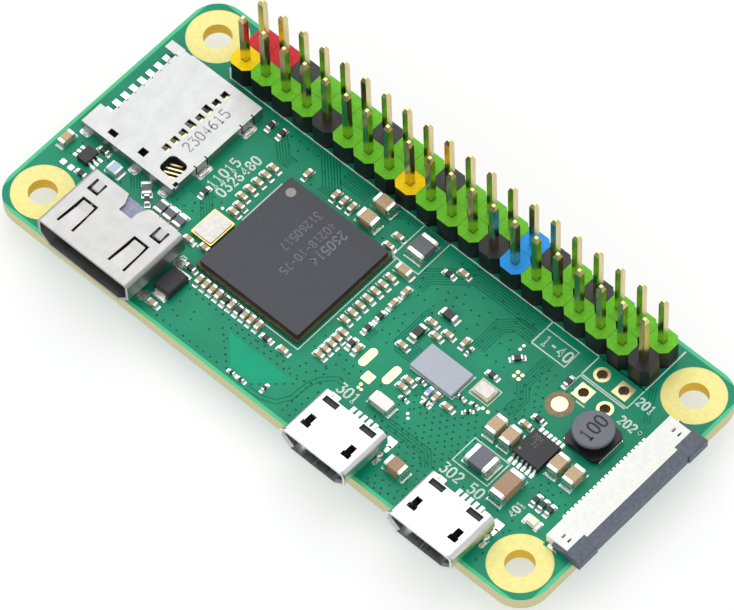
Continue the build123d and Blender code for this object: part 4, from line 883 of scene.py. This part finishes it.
class BOARD_OT_header(bpy.types.Operator):
    """Paint the header's cells in the colours of what their pins carry"""
    bl_idname = "board.header"
    bl_label = "Header ink"

    def execute(self, context):
        thick = context.scene.board_sizes.ink
        low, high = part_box("header_body")
        pitch = (high.y - low.y) / 2
        columns = round((high.x - low.x) / pitch)
        pin = (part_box("header_pins")[1].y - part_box("header_pins")[0].y - pitch) / 2 + INK_PIN_GAP * MM
        for letter, key in INK_NAMES.items():
            cell = ink_cell(pitch / 2 - INK_CELL_GAP * MM, pin)
            places = []
            for row, paint in enumerate(INK_ROWS):
                for column in range(columns):
                    if paint[column] == letter:
                        x = low.x + pitch * (column + 0.5)
                        y = low.y + pitch * (row + 0.5)
                        places.append((Vector((x, y, high.z)), 0.0, (1, 1, thick)))
            copies("header_" + key, cell, places, MATERIALS[key], slot="header_plastic")
        return {"FINISHED"}


TEST_LAND = (53.25, 17.9)
# Each land: x, y, width, depth, corner radius, all in mm on the board
BARE_GOLD_LANDS = [
    (37.35, 10.2, 0.85, 2.2, 0.42), (40.2, 10.2, 0.85, 2.2, 0.42), (38.8, 8.65, 1.05, 1.05, 0.1),
    (38.8, 7.7, 0.34, 0.34, 0.16), (38.85, 7.3, 0.3, 0.3, 0.14), (39.2, 7.3, 0.3, 0.3, 0.14),
    (48.3, 17.92, 0.36, 0.36, 0.16), (48.82, 17.92, 0.36, 0.36, 0.16),
    (48.3, 17.4, 0.36, 0.36, 0.16), (48.82, 17.4, 0.36, 0.36, 0.16),
    (48.5, 13.05, 0.34, 0.34, 0.16), (49.1, 13.05, 0.34, 0.34, 0.16), (*TEST_LAND, 1.56, 1.56, 0.77),
]
BARE_TIN_LANDS = [
    (2.6, 7.1, 0.55, 0.55, 0.1), (3.55, 7.1, 0.55, 0.55, 0.1), (16.85, 13.05, 0.3, 0.3, 0.14),
    (46.85, 20.3, 0.3, 0.3, 0.14), (46.85, 19.8, 0.3, 0.3, 0.14), (43.95, 8.2, 0.3, 0.3, 0.14),
    (44.3, 7.85, 0.3, 0.3, 0.14),
]
CARD_TABS = [(1.9, 10.75, 1.1, 0.7, 0.2), (8.0, 10.65, 1.0, 0.7, 0.2), (11.7, 10.65, 1.0, 0.7, 0.2),
             (12.98, 20.7, 0.62, 1.7, 0.2), (12.98, 14.8, 0.62, 1.8, 0.2)]


# Lands beside each serial port, with x counted out from the port's middle
PORT_SIDE_LANDS = [(3.4, 5.0, 1.05, 0.95, 0.1), (3.7, 4.3, 0.4, 0.8, 0.1), (3.78, 2.9, 0.5, 1.2, 0.2)]
PORT_LEG = (3.72, 3.3)
VIDEO_LEGS = ((17.95, 6.2), (17.95, 1.6), (6.75, 6.2), (6.75, 1.6))
SERIAL_PORTS = ("data_port_shell", "power_port_shell")
SOLDERED_LEADS = ("regulator_leads", "six_lead_chip_leads", "diode_leads", "inductor_feet",
                  "indicator_ends", "ribbon_contacts", "data_port_contacts", "power_port_contacts")
# How thick each kind of land is, in films
CLEARANCE_FILMS = 0.8
LEAD_FILMS = 1.3
LAND_FILMS = 1.6
PORT_FILMS = 2
TINNED_FILMS = 4
LAND_PAST = 0.15                                       # mm, a land past its lead's foot
LAND_BESIDE = 0.06                                     # mm
FOOT_HEIGHT = 0.02                                     # mm, what counts as a lead's foot
TAB_SOLDER_SHARE = 0.42                                # of a tab's width and depth
TAB_SOLDER_HEIGHT = 0.22                               # mm


def lead_lands(node):
    """Lands under the feet of a node's leads: the part of each lead that lies on the board."""
    found = []
    for group in islands(node):
        feet = [p for p in group if p.z < TOP + FOOT_HEIGHT * MM]
        if feet:
            low, high = extent(feet)
            centre = (low + high) / 2 - CORNER
            size = high - low
            past_x, past_y = ((LAND_PAST, LAND_BESIDE) if size.x > size.y
                              else (LAND_BESIDE, LAND_PAST))
            found.append((centre.x / MM, centre.y / MM, size.x / MM + past_x * 2,
                          size.y / MM + past_y * 2, 0.05))
    return found


def port_middle(name):
    """The middle of a port, in mm from the card edge."""
    low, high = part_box(name)
    return ((low.x + high.x) / 2 - CORNER.x) / MM


def add_lands(bm, lands, thickness):
    """Add a plate for each land."""
    for x, y, width, depth, radius in lands:
        plate(bm, x, y, width, depth, radius, 0, thickness)


class BOARD_OT_lands(bpy.types.Operator):
    """Lay the lands: bare gold ones, tinned ones, and those under leads and shell tabs"""
    bl_idname = "board.lands"
    bl_label = "Lands"

    def execute(self, context):
        film = context.scene.board_sizes.film / MM
        gold = bmesh.new()
        add_lands(gold, BARE_GOLD_LANDS, LAND_FILMS * film)
        piece_from("bare_gold_lands", gold, MATERIALS["gold"])
        halo = bmesh.new()
        plate(halo, *TEST_LAND, 2.7, 2.7, 1.34, 0, CLEARANCE_FILMS * film)
        piece_from("test_land_clearance", halo, MATERIALS["bare_ring"])
        tin = bmesh.new()
        add_lands(tin, BARE_TIN_LANDS, TINNED_FILMS * film)
        for node in SOLDERED_LEADS:
            add_lands(tin, lead_lands(node), LEAD_FILMS * film)
        add_lands(tin, CARD_TABS, LAND_FILMS * film)
        for name in SERIAL_PORTS:
            for side in (-1, 1):
                add_lands(tin, [(port_middle(name) + side * out, *rest)
                                for out, *rest in PORT_SIDE_LANDS], PORT_FILMS * film)
        add_lands(tin, [(x, y, 1.2, 1.2, 0.59) for x, y in VIDEO_LEGS], PORT_FILMS * film)
        piece_from("tinned_lands", tin, MATERIALS["solder"])
        # solder standing against the card socket's tabs and the ports' legs
        share = TAB_SOLDER_SHARE
        lumps = [(spot(x, y), 0.0, (w * share * MM, d * share * MM, TAB_SOLDER_HEIGHT * MM))
                 for x, y, w, d, _ in CARD_TABS]
        lumps += [(spot(port_middle(name) + side * PORT_LEG[0], PORT_LEG[1]), 0.0,
                   (0.3 * MM, 0.4 * MM, 0.45 * MM)) for name in SERIAL_PORTS for side in (-1, 1)]
        copies("tab_solder", disc_shape(12, -0.25), lumps, MATERIALS["solder"], slot="solder",
               uneven=0.12)
        return {"FINISHED"}


# Strokes of the digits on a grid 2 wide and 4 high
STROKES = {
    "0": [[(0, 1), (0, 3), (.5, 4), (1.5, 4), (2, 3), (2, 1), (1.5, 0), (.5, 0), (0, 1)]],
    "1": [[(.3, 3.2), (1, 4), (1, 0)], [(.3, 0), (1.7, 0)]],
    "2": [[(0, 3.2), (.5, 4), (1.5, 4), (2, 3.3), (2, 2.6), (0, 0), (2, 0)]],
    "3": [[(0, 4), (2, 4), (.9, 2.4), (1.6, 2.3), (2, 1.6), (2, .8), (1.5, 0), (.5, 0), (0, .7)]],
    "4": [[(1.5, 0), (1.5, 4), (0, 1.2), (2, 1.2)]],
    "5": [[(1.9, 4), (.1, 4), (0, 2.3), (1.4, 2.5), (2, 1.8), (2, .8), (1.5, 0), (.5, 0), (0, .6)]],
    "6": [[(1.7, 4), (.6, 3.3), (0, 2), (0, .9), (.5, 0), (1.5, 0), (2, .9), (1.5, 2), (.5, 2),
           (0, 1.3)]],
    "7": [[(0, 4), (2, 4), (.7, 0)]],
    "8": [[(.5, 2.1), (0, 3), (.5, 4), (1.5, 4), (2, 3), (1.5, 2.1), (.5, 2.1), (0, 1), (.5, 0),
           (1.5, 0), (2, 1), (1.5, 2.1)]],
    "9": [[(.3, 0), (1.4, .7), (2, 2), (2, 3.1), (1.5, 4), (.5, 4), (0, 3.1), (.5, 2), (1.5, 2),
           (2, 2.7)]],
    "-": [[(.2, 2), (1.8, 2)]],
    "+": [[(.2, 2), (1.8, 2)], [(1, 1.1), (1, 2.9)]],
}


def number_runs(text, x, y, height, turn=0, lean=0.0, lift=0.0):
    """The strokes of a number as runs of points: its lower left corner, height and turn."""
    angle = math.radians(turn)
    across = Vector((math.cos(angle), math.sin(angle), 0))
    upward = Vector((-math.sin(angle), math.cos(angle), 0))
    unit = height * MM / 4
    runs = []
    for place, letter in enumerate(text):
        for stroke in STROKES.get(letter, []):
            runs.append([spot(x, y, lift) + across * unit * (a + lean * b + 3.1 * place)
                         + upward * unit * b for a, b in stroke])
    return runs


def loop(*points):
    """A closed run on the board through some (x, y) places."""
    return [spot(x, y) for x, y in points + (points[0],)]


def line(*points):
    """An open run on the board through some (x, y) places."""
    return [spot(x, y) for x, y in points]


def frame_line(x0, x1, y0, y1):
    """A printed rectangle."""
    return loop((x0, y0), (x1, y0), (x1, y1), (x0, y1))


LEGEND_STROKE = 0.21                                   # mm
# Each number on the legend: its digits, lower left corner, height and turn
LEGEND_NUMBERS = [
    ("11015", 14.8, 14.1, 1.0, 90), ("0326480", 16.05, 13.95, 1.0, 90), ("1-40", 47.75, 21.5, 1.1),
    ("201", 58.2, 22.4, 0.85), ("202", 58.2, 19.9, 0.85), ("+", 60.3, 19.95, 0.85),
    ("301", 37.55, 5.75, 1.05), ("302 50", 49.85, 5.8, 1.05), ("401", 58.0, 6.55, 0.75, 90),
]


class BOARD_OT_legend(bpy.types.Operator):
    """Print the white legend: outlines of parts and number labels"""
    bl_idname = "board.legend"
    bl_label = "Board printing"

    def execute(self, context):
        sizes = context.scene.board_sizes
        runs = [
            line((57.95, 29.45), (57.95, 23.95), (7.55, 23.95), (6.75, 24.75)),
            line((28.3, 6.6), (32.15, 6.6), (32.15, 19.5), (31.35, 19.5)),
            line((19.05, 13.3), (19.05, 18.6)), frame_line(31.65, 34.75, 19.6, 23.95),
            frame_line(47.1, 51.0, 21.05, 23.05), line((47.1, 23.05), (47.1, 23.95)),
            frame_line(52.6, 57.95, 21.55, 23.95),
            line((52.6, 19.4), (52.6, 21.35), (57.85, 21.35)), line((54.1, 19.1), (55.1, 19.1)),
            line((54.15, 10.35), (50.05, 10.35), (50.05, 7.35), (54.15, 7.35), (54.15, 10.35)),
            frame_line(46.45, 48.65, 13.5, 15.4),
            line((45.85, 15.05), (45.85, 11.9), (40.95, 11.9), (40.75, 12.1)),
            loop((17.65, 6.1), (18.15, 6.1), (18.35, 6.5), (18.15, 7.0), (17.75, 7.0), (17.5, 6.5)),
        ]
        ribbons("legend_lines", runs, sizes.silk_width, 2 * sizes.film, MATERIALS["silk"])
        labels = [run for number in LEGEND_NUMBERS for run in number_runs(*number)]
        ribbons("legend_numbers", labels, LEGEND_STROKE * MM, 2 * sizes.film, MATERIALS["silk"])
        return {"FINISHED"}


CORNER_DOT_RISE = 0.01                                 # mm


def rise_of(node):
    """How high a node's top stands above the board, in mm."""
    return (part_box(node)[1].z - TOP) / MM


def mark_numbers(name, node, numbers, stroke, finish):
    """Numbers on a node's top. Each is its digits, lower left corner, height, turn and lean."""
    runs = [run for number in numbers for run in number_runs(*number, lift=rise_of(node))]
    film = bpy.context.scene.board_sizes.film
    ribbons(name, runs, stroke * MM, film, MATERIALS[finish])


def mark_corner(name, node, x, y, size, radius):
    """A round mark by a package's first corner."""
    height = rise_of(node)
    dot = bmesh.new()
    plate(dot, x, y, size, size, radius, height, height + CORNER_DOT_RISE)
    piece_from(name, dot, MATERIALS["laser_dot"])


class BOARD_OT_marks(bpy.types.Operator):
    """Mark the packages with numbers and their first corners with dots"""
    bl_idname = "board.marks"
    bl_label = "Package marks"

    def execute(self, context):
        mark_numbers("memory_number_bold", "memory_package",
                     [("260514", 26.95, 17.9, 0.95, -90, 0.12)], 0.2, "laser")
        mark_numbers("memory_numbers", "memory_package",
                     [("40218-10-75", 25.65, 17.9, 0.82, -90), ("31260517", 23.9, 17.9, 0.82, -90)],
                     0.12, "laser")
        mark_corner("memory_corner_dot", "memory_package", 20.8, 17.9, 0.98, 0.48)
        mark_numbers("regulator_numbers", "regulator_body",
                     [("204", 54.0, 13.45, 0.5), ("71", 54.4, 12.75, 0.5)], 0.08, "laser")
        mark_corner("regulator_corner_dot", "regulator_body", 53.95, 11.85, 0.24, 0.11)
        mark_numbers("card_cover_number", "card_socket_cover", [("2304615", 11.1, 14.9, 1.05, 90)],
                     0.15, "etched")
        low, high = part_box("inductor_core")
        centre = (low + high) / 2 - CORNER
        mark_numbers("inductor_number", "inductor_core",
                     [("100", centre.x / MM + 0.6, centre.y / MM - 1.25, 1.25, 90)], 0.2, "black_ink")
        return {"FINISHED"}


def offset_run(points, shift):
    """A run of (x, y) places moved sideways by a distance, mitred at its corners."""
    moved = []
    for i, here in enumerate(points):
        before = points[max(i - 1, 0)]
        after = points[min(i + 1, len(points) - 1)]
        normals = []
        for a, b in ((before, here), (here, after)):
            size = math.hypot(b[0] - a[0], b[1] - a[1])
            if size:
                normals.append(Vector(((a[1] - b[1]) / size, (b[0] - a[0]) / size)))
        normal = sum(normals, Vector((0, 0))).normalized()
        stretch = shift / max(normal.dot(normals[0]), 0.3)
        moved.append((here[0] + normal.x * stretch, here[1] + normal.y * stretch))
    return moved


# Bundles of tracks: how many side by side, how far apart in mm, and the first one's path
BUNDLES = [
    (7, 0.27, [(15.9, 23.55), (19.2, 23.55), (21.9, 20.9), (21.9, 20.3)]),
    (5, 0.27, [(13.6, 21.6), (15.4, 21.6), (17.0, 20.2), (18.2, 20.2)]),
    (4, 0.27, [(22.6, 23.3), (26.2, 23.3)]), (4, 0.27, [(22.7, 22.2), (25.9, 22.2)]),
    (6, 0.27, [(29.0, 21.0), (29.0, 22.4), (29.9, 23.3), (31.4, 23.3)]),
    (6, 0.27, [(37.6, 23.6), (46.9, 23.6)]),
    (7, 0.27, [(36.3, 18.4), (36.3, 19.6), (39.2, 22.1), (46.6, 22.1)]),
    (6, 0.27, [(44.6, 17.4), (44.6, 20.2), (45.3, 20.9), (46.9, 20.9)]),
    (7, 0.27, [(38.1, 17.6), (37.9, 17.2), (37.9, 13.0), (38.7, 12.3), (40.4, 12.3)]),
    (5, 0.27, [(49.0, 20.7), (49.0, 17.0), (49.9, 16.0), (49.9, 14.2)]),
    (5, 0.27, [(13.3, 12.5), (14.6, 12.5), (16.2, 10.9)]),
    (5, 0.27, [(34.9, 11.6), (36.3, 11.6)]),
    (4, 0.27, [(42.9, 9.9), (44.4, 11.4)]), (4, 0.3, [(43.3, 5.9), (47.6, 5.9), (48.6, 4.9)]),
    (2, 0.42, [(37.9, 6.9), (36.7, 6.9), (35.6, 5.8), (35.1, 4.6), (34.95, 2.6), (34.3, 1.5),
               (33.1, 1.0), (31.4, 0.9)]),
    (4, 0.27, [(8.2, 10.1), (9.2, 9.1)]), (5, 0.27, [(60.3, 15.2), (60.3, 18.6)]),
    (3, 0.27, [(58.1, 24.6), (60.0, 21.4)]),
]


# The antenna's window, round its outline
ANTENNA = [(26.25, 3.92), (27.3, 2.95), (28.2, 2.05), (28.8, 1.4), (29.25, 1.15),
           (31.15, 1.15), (31.6, 1.4), (32.5, 2.05), (33.35, 3.0), (34.0, 3.92)]
TRACK_FILMS = 0.7
WINDOW_FILMS = 0.6


class BOARD_OT_tracks(bpy.types.Operator):
    """Run the fine tracks under the mask and lay the antenna's bare window"""
    bl_idname = "board.tracks"
    bl_label = "Tracks"

    def execute(self, context):
        sizes = context.scene.board_sizes
        runs = [[spot(*place) for place in offset_run(path, pitch * number)]
                for count, pitch, path in BUNDLES for number in range(count)]
        ribbons("track_gaps", runs, sizes.trace_width, TRACK_FILMS * sizes.film,
                MATERIALS["mask_gap"])
        window = bmesh.new()
        prism(window, [((x * MM) + CORNER.x, (y * MM) + CORNER.y) for x, y in ANTENNA],
              TOP, TOP + WINDOW_FILMS * sizes.film)
        piece_from("antenna_window", window, MATERIALS["mask_window"])
        return {"FINISHED"}


# Rows of vias: first place, step, count
VIA_ROWS = [
    ((20.6, 4.82), (0.81, 0), 11), ((26.2, 4.3), (0.8, 0), 11), ((28.95, 4.88), (0.77, 0), 5),
    ((20.3, 0.85), (0.82, 0), 10), ((25.65, 3.8), (0.52, -0.47), 7), ((34.3, 3.7), (-0.55, -0.5), 6),
    ((35.45, 1.1), (0, 0.62), 8), ((36.3, 1.1), (0, 0.8), 4), ((14.2, 13.0), (0.4, -0.4), 4),
    ((19.6, 6.6), (0.05, 0.7), 1), ((36.9, 23.1), (0.85, -0.1), 3), ((62.0, 10.2), (0, 0.9), 1),
    ((45.4, 0.6), (0.75, 0), 4), ((21.0, 2.2), (1.9, 0.35), 4), ((58.4, 1.2), (0.0, 0.9), 5),
]
# Fields of vias: x range, y range, pitch in X and Y, share kept
VIA_FIELDS = [
    ((41.6, 50.2), (5.6, 12.4), 0.78, 0.55, 0.93), ((49.6, 53.6), (13.6, 20.4), 0.72, 0.62, 0.78),
    ((35.0, 38.4), (12.4, 20.6), 0.85, 0.8, 0.62), ((33.0, 36.8), (4.6, 9.8), 0.9, 0.8, 0.62),
    ((38.0, 47.0), (16.6, 23.4), 0.95, 0.85, 0.54), ((44.2, 49.4), (1.0, 5.4), 0.8, 0.7, 0.78),
    ((13.3, 30.6), (20.3, 23.5), 1.1, 0.9, 0.46), ((56.6, 60.4), (10.0, 11.6), 0.7, 0.6, 0.78),
    ((58.0, 60.6), (13.8, 19.4), 0.9, 0.9, 0.46), ((13.2, 19.0), (9.4, 13.8), 0.9, 0.8, 0.62),
    ((2.0, 12.8), (7.4, 10.4), 1.0, 0.8, 0.46), ((33.6, 46.8), (6.0, 9.6), 1.2, 0.9, 0.46),
    ((50.0, 57.6), (6.0, 7.2), 0.9, 0.6, 0.31), ((56.4, 60.2), (4.6, 6.8), 0.9, 0.8, 0.78),
    ((17.9, 24.6), (2.0, 4.4), 1.9, 1.3, 0.46),
]


VIA_ROOM = 0.3                                         # mm, round everything that stands
VIA_JITTER = 0.08                                      # mm


def footprints():
    """The boxes of everything that stands on the board, in X and Y."""
    boxes = []
    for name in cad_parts:
        if name.startswith(("solder_mask", "pcb", "plated")) or name == "header_solder":
            continue
        low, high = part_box(name)
        if name.endswith(("_ends", "_bodies", "_leads", "_feet")):
            boxes.extend(extent(group) for group in islands(name))
        else:
            boxes.append((low, high))
    boxes.extend((spot(x - w / 2, y - d / 2), spot(x + w / 2, y + d / 2))
                 for x, y, w, d, _ in BARE_GOLD_LANDS + BARE_TIN_LANDS + CARD_TABS)
    return boxes


class BOARD_OT_vias(bpy.types.Operator):
    """Sink the small tented vias in their rows and fields"""
    bl_idname = "board.vias"
    bl_label = "Vias"

    def execute(self, context):
        sizes = context.scene.board_sizes
        chance = random.Random(sizes.seed)
        wanted = [(x + dx * i, y + dy * i) for (x, y), (dx, dy), count in VIA_ROWS
                  for i in range(count)]
        for (x0, x1), (y0, y1), px, py, share in VIA_FIELDS:
            rows = int((y1 - y0) / py) + 1
            columns = int((x1 - x0) / px) + 1
            for j in range(rows):
                for i in range(columns):
                    if chance.random() < share:
                        x = x0 + px * (i + 0.5 * (j % 2)) + chance.uniform(-VIA_JITTER, VIA_JITTER)
                        y = y0 + py * j + chance.uniform(-VIA_JITTER, VIA_JITTER)
                        wanted.append((x, y))
        boxes = footprints()
        room = VIA_ROOM * MM
        hole = BOARD_HALF - mm(HOLE_INSET, HOLE_INSET, 0)
        places = []
        for x, y in wanted:
            at = spot(x, y)
            blocked = any(low.x - room < at.x < high.x + room and low.y - room < at.y < high.y + room
                          for low, high in boxes)
            ring = (Vector((abs(at.x) - hole.x, abs(at.y) - hole.y))).length < RING_R + room
            if not (blocked or ring):
                places.append((at, chance.uniform(0, 3), (sizes.via_radius, sizes.via_radius,
                                                          sizes.film)))
        copies("via_mouths", disc_shape(8, 0.8), places, MATERIALS["mask_via"],
               slot="solder_mask", uneven=0.15)
        return {"FINISHED"}


FLOOR_REACH = 0.6                                      # metres
FLOOR_THICKNESS = 0.004                                # metres
CAMERA_AIM = (-0.379088, 0.382335, -0.842682)
CAMERA_PLACE = (212.03, -213.62, 470.39)               # mm
CAMERA_ROLL = -2.4056                                  # degrees
CAMERA_LENS = 305.92                                   # mm
SENSOR_WIDTH = 36                                      # mm
CAMERA_REACH = (0.05, 5)                               # metres, nearest and furthest
SKY_STRENGTH = 0.86
# Each softbox: name, direction, distance and side in metres, watts and tint
SOFTBOXES = [
    ("key_softbox", (-0.42, 0.46, 0.78), 1.0, 1.1, 5.4, "#FFFDFA"),
    ("fill_softbox", (0.6, -0.75, 0.35), 1.0, 0.7, 1.4, "#FFFFFF"),
]


class BOARD_OT_stage(bpy.types.Operator):
    """Set up the floor, the soft studio light and the camera"""
    bl_idname = "board.stage"
    bl_label = "Stage"

    def execute(self, context):
        scene = context.scene
        bm = bmesh.new()
        reach = FLOOR_REACH
        floor_z = CAD_BOX[0][2]
        prism(bm, [(reach, reach), (-reach, reach), (-reach, -reach), (reach, -reach)],
              floor_z - FLOOR_THICKNESS, floor_z)
        mesh = bpy.data.meshes.new("floor")
        bmesh.ops.recalc_face_normals(bm, faces=bm.faces)
        bm.to_mesh(mesh)
        bm.free()
        floor = bpy.data.objects.new("floor", mesh)
        # Opal acrylic lit from below: it keeps the ground white and the shadows faint.
        floor.data.materials.append(surface("backlit_opal_acrylic", "#B4B4B4", "#B8B8B8",
                                            40, 0.9,
                                            Emission_Color=(1, 1, 1, 1),
                                            Emission_Strength=0.5))
        scene.collection.objects.link(floor)

        camera_data = bpy.data.cameras.new("camera")
        camera_data.lens = CAMERA_LENS
        camera_data.sensor_width = SENSOR_WIDTH
        camera_data.clip_start, camera_data.clip_end = CAMERA_REACH
        camera = bpy.data.objects.new("camera", camera_data)
        scene.collection.objects.link(camera)
        roll = Matrix.Rotation(math.radians(CAMERA_ROLL), 4, "Z")
        turn = Vector(CAMERA_AIM).to_track_quat("-Z", "Y").to_matrix().to_4x4()
        camera.matrix_world = Matrix.Translation(mm(*CAMERA_PLACE)) @ turn @ roll
        scene.camera = camera

        for name, direction, distance, size, watts, tint in SOFTBOXES:
            data = bpy.data.lights.new(name, "AREA")
            data.shape = "SQUARE"
            data.size = size
            data.energy = watts
            data.color = linear(tint)
            lamp = bpy.data.objects.new(name, data)
            scene.collection.objects.link(lamp)
            aim = Vector(direction).normalized()
            facing = (-aim).to_track_quat("-Z", "Y").to_matrix().to_4x4()
            lamp.matrix_world = Matrix.Translation(aim * distance) @ facing

        world = bpy.data.worlds.new("studio")
        scene.world = world
        world.use_nodes = True
        sky = world.node_tree.nodes["Background"]
        sky.inputs["Color"].default_value = rgba(linear("#F2F4F6"))
        sky.inputs["Strength"].default_value = SKY_STRENGTH
        scene.view_settings.view_transform = "Standard"
        scene.view_settings.look = "None"
        return {"FINISHED"}


class BOARD_PT_panel(bpy.types.Panel):
    """The steps that dress the board, in order"""
    bl_idname = "BOARD_PT_panel"
    bl_label = "Single board computer"
    bl_space_type = "VIEW_3D"
    bl_region_type = "UI"
    bl_category = "Board"

    def draw(self, context):
        for operator in OPERATORS:
            self.layout.operator(operator.bl_idname)
        for group in (context.scene.board_colours, context.scene.board_sizes):
            for key in group.bl_rna.properties.keys():
                if key not in ("rna_type", "name"):
                    self.layout.prop(group, key)


OPERATORS = (BOARD_OT_finishes, BOARD_OT_chips, BOARD_OT_header, BOARD_OT_lands, BOARD_OT_legend,
             BOARD_OT_marks, BOARD_OT_tracks, BOARD_OT_vias, BOARD_OT_stage)


def register():
    """Make the settings, the operators and the panel known."""
    for item in (BoardColours, BoardSizes) + OPERATORS + (BOARD_PT_panel,):
        bpy.utils.register_class(item)
    bpy.types.Scene.board_colours = PointerProperty(type=BoardColours)
    bpy.types.Scene.board_sizes = PointerProperty(type=BoardSizes)


def unregister():
    """Take them all back out."""
    del bpy.types.Scene.board_colours
    del bpy.types.Scene.board_sizes
    for item in reversed((BoardColours, BoardSizes) + OPERATORS + (BOARD_PT_panel,)):
        bpy.utils.unregister_class(item)


def main():
    """Dress the board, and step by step."""
    register()
    for operator in OPERATORS:
        group, action = operator.bl_idname.split(".")
        getattr(getattr(bpy.ops, group), action)()


if __name__ == "__main__":
    main()
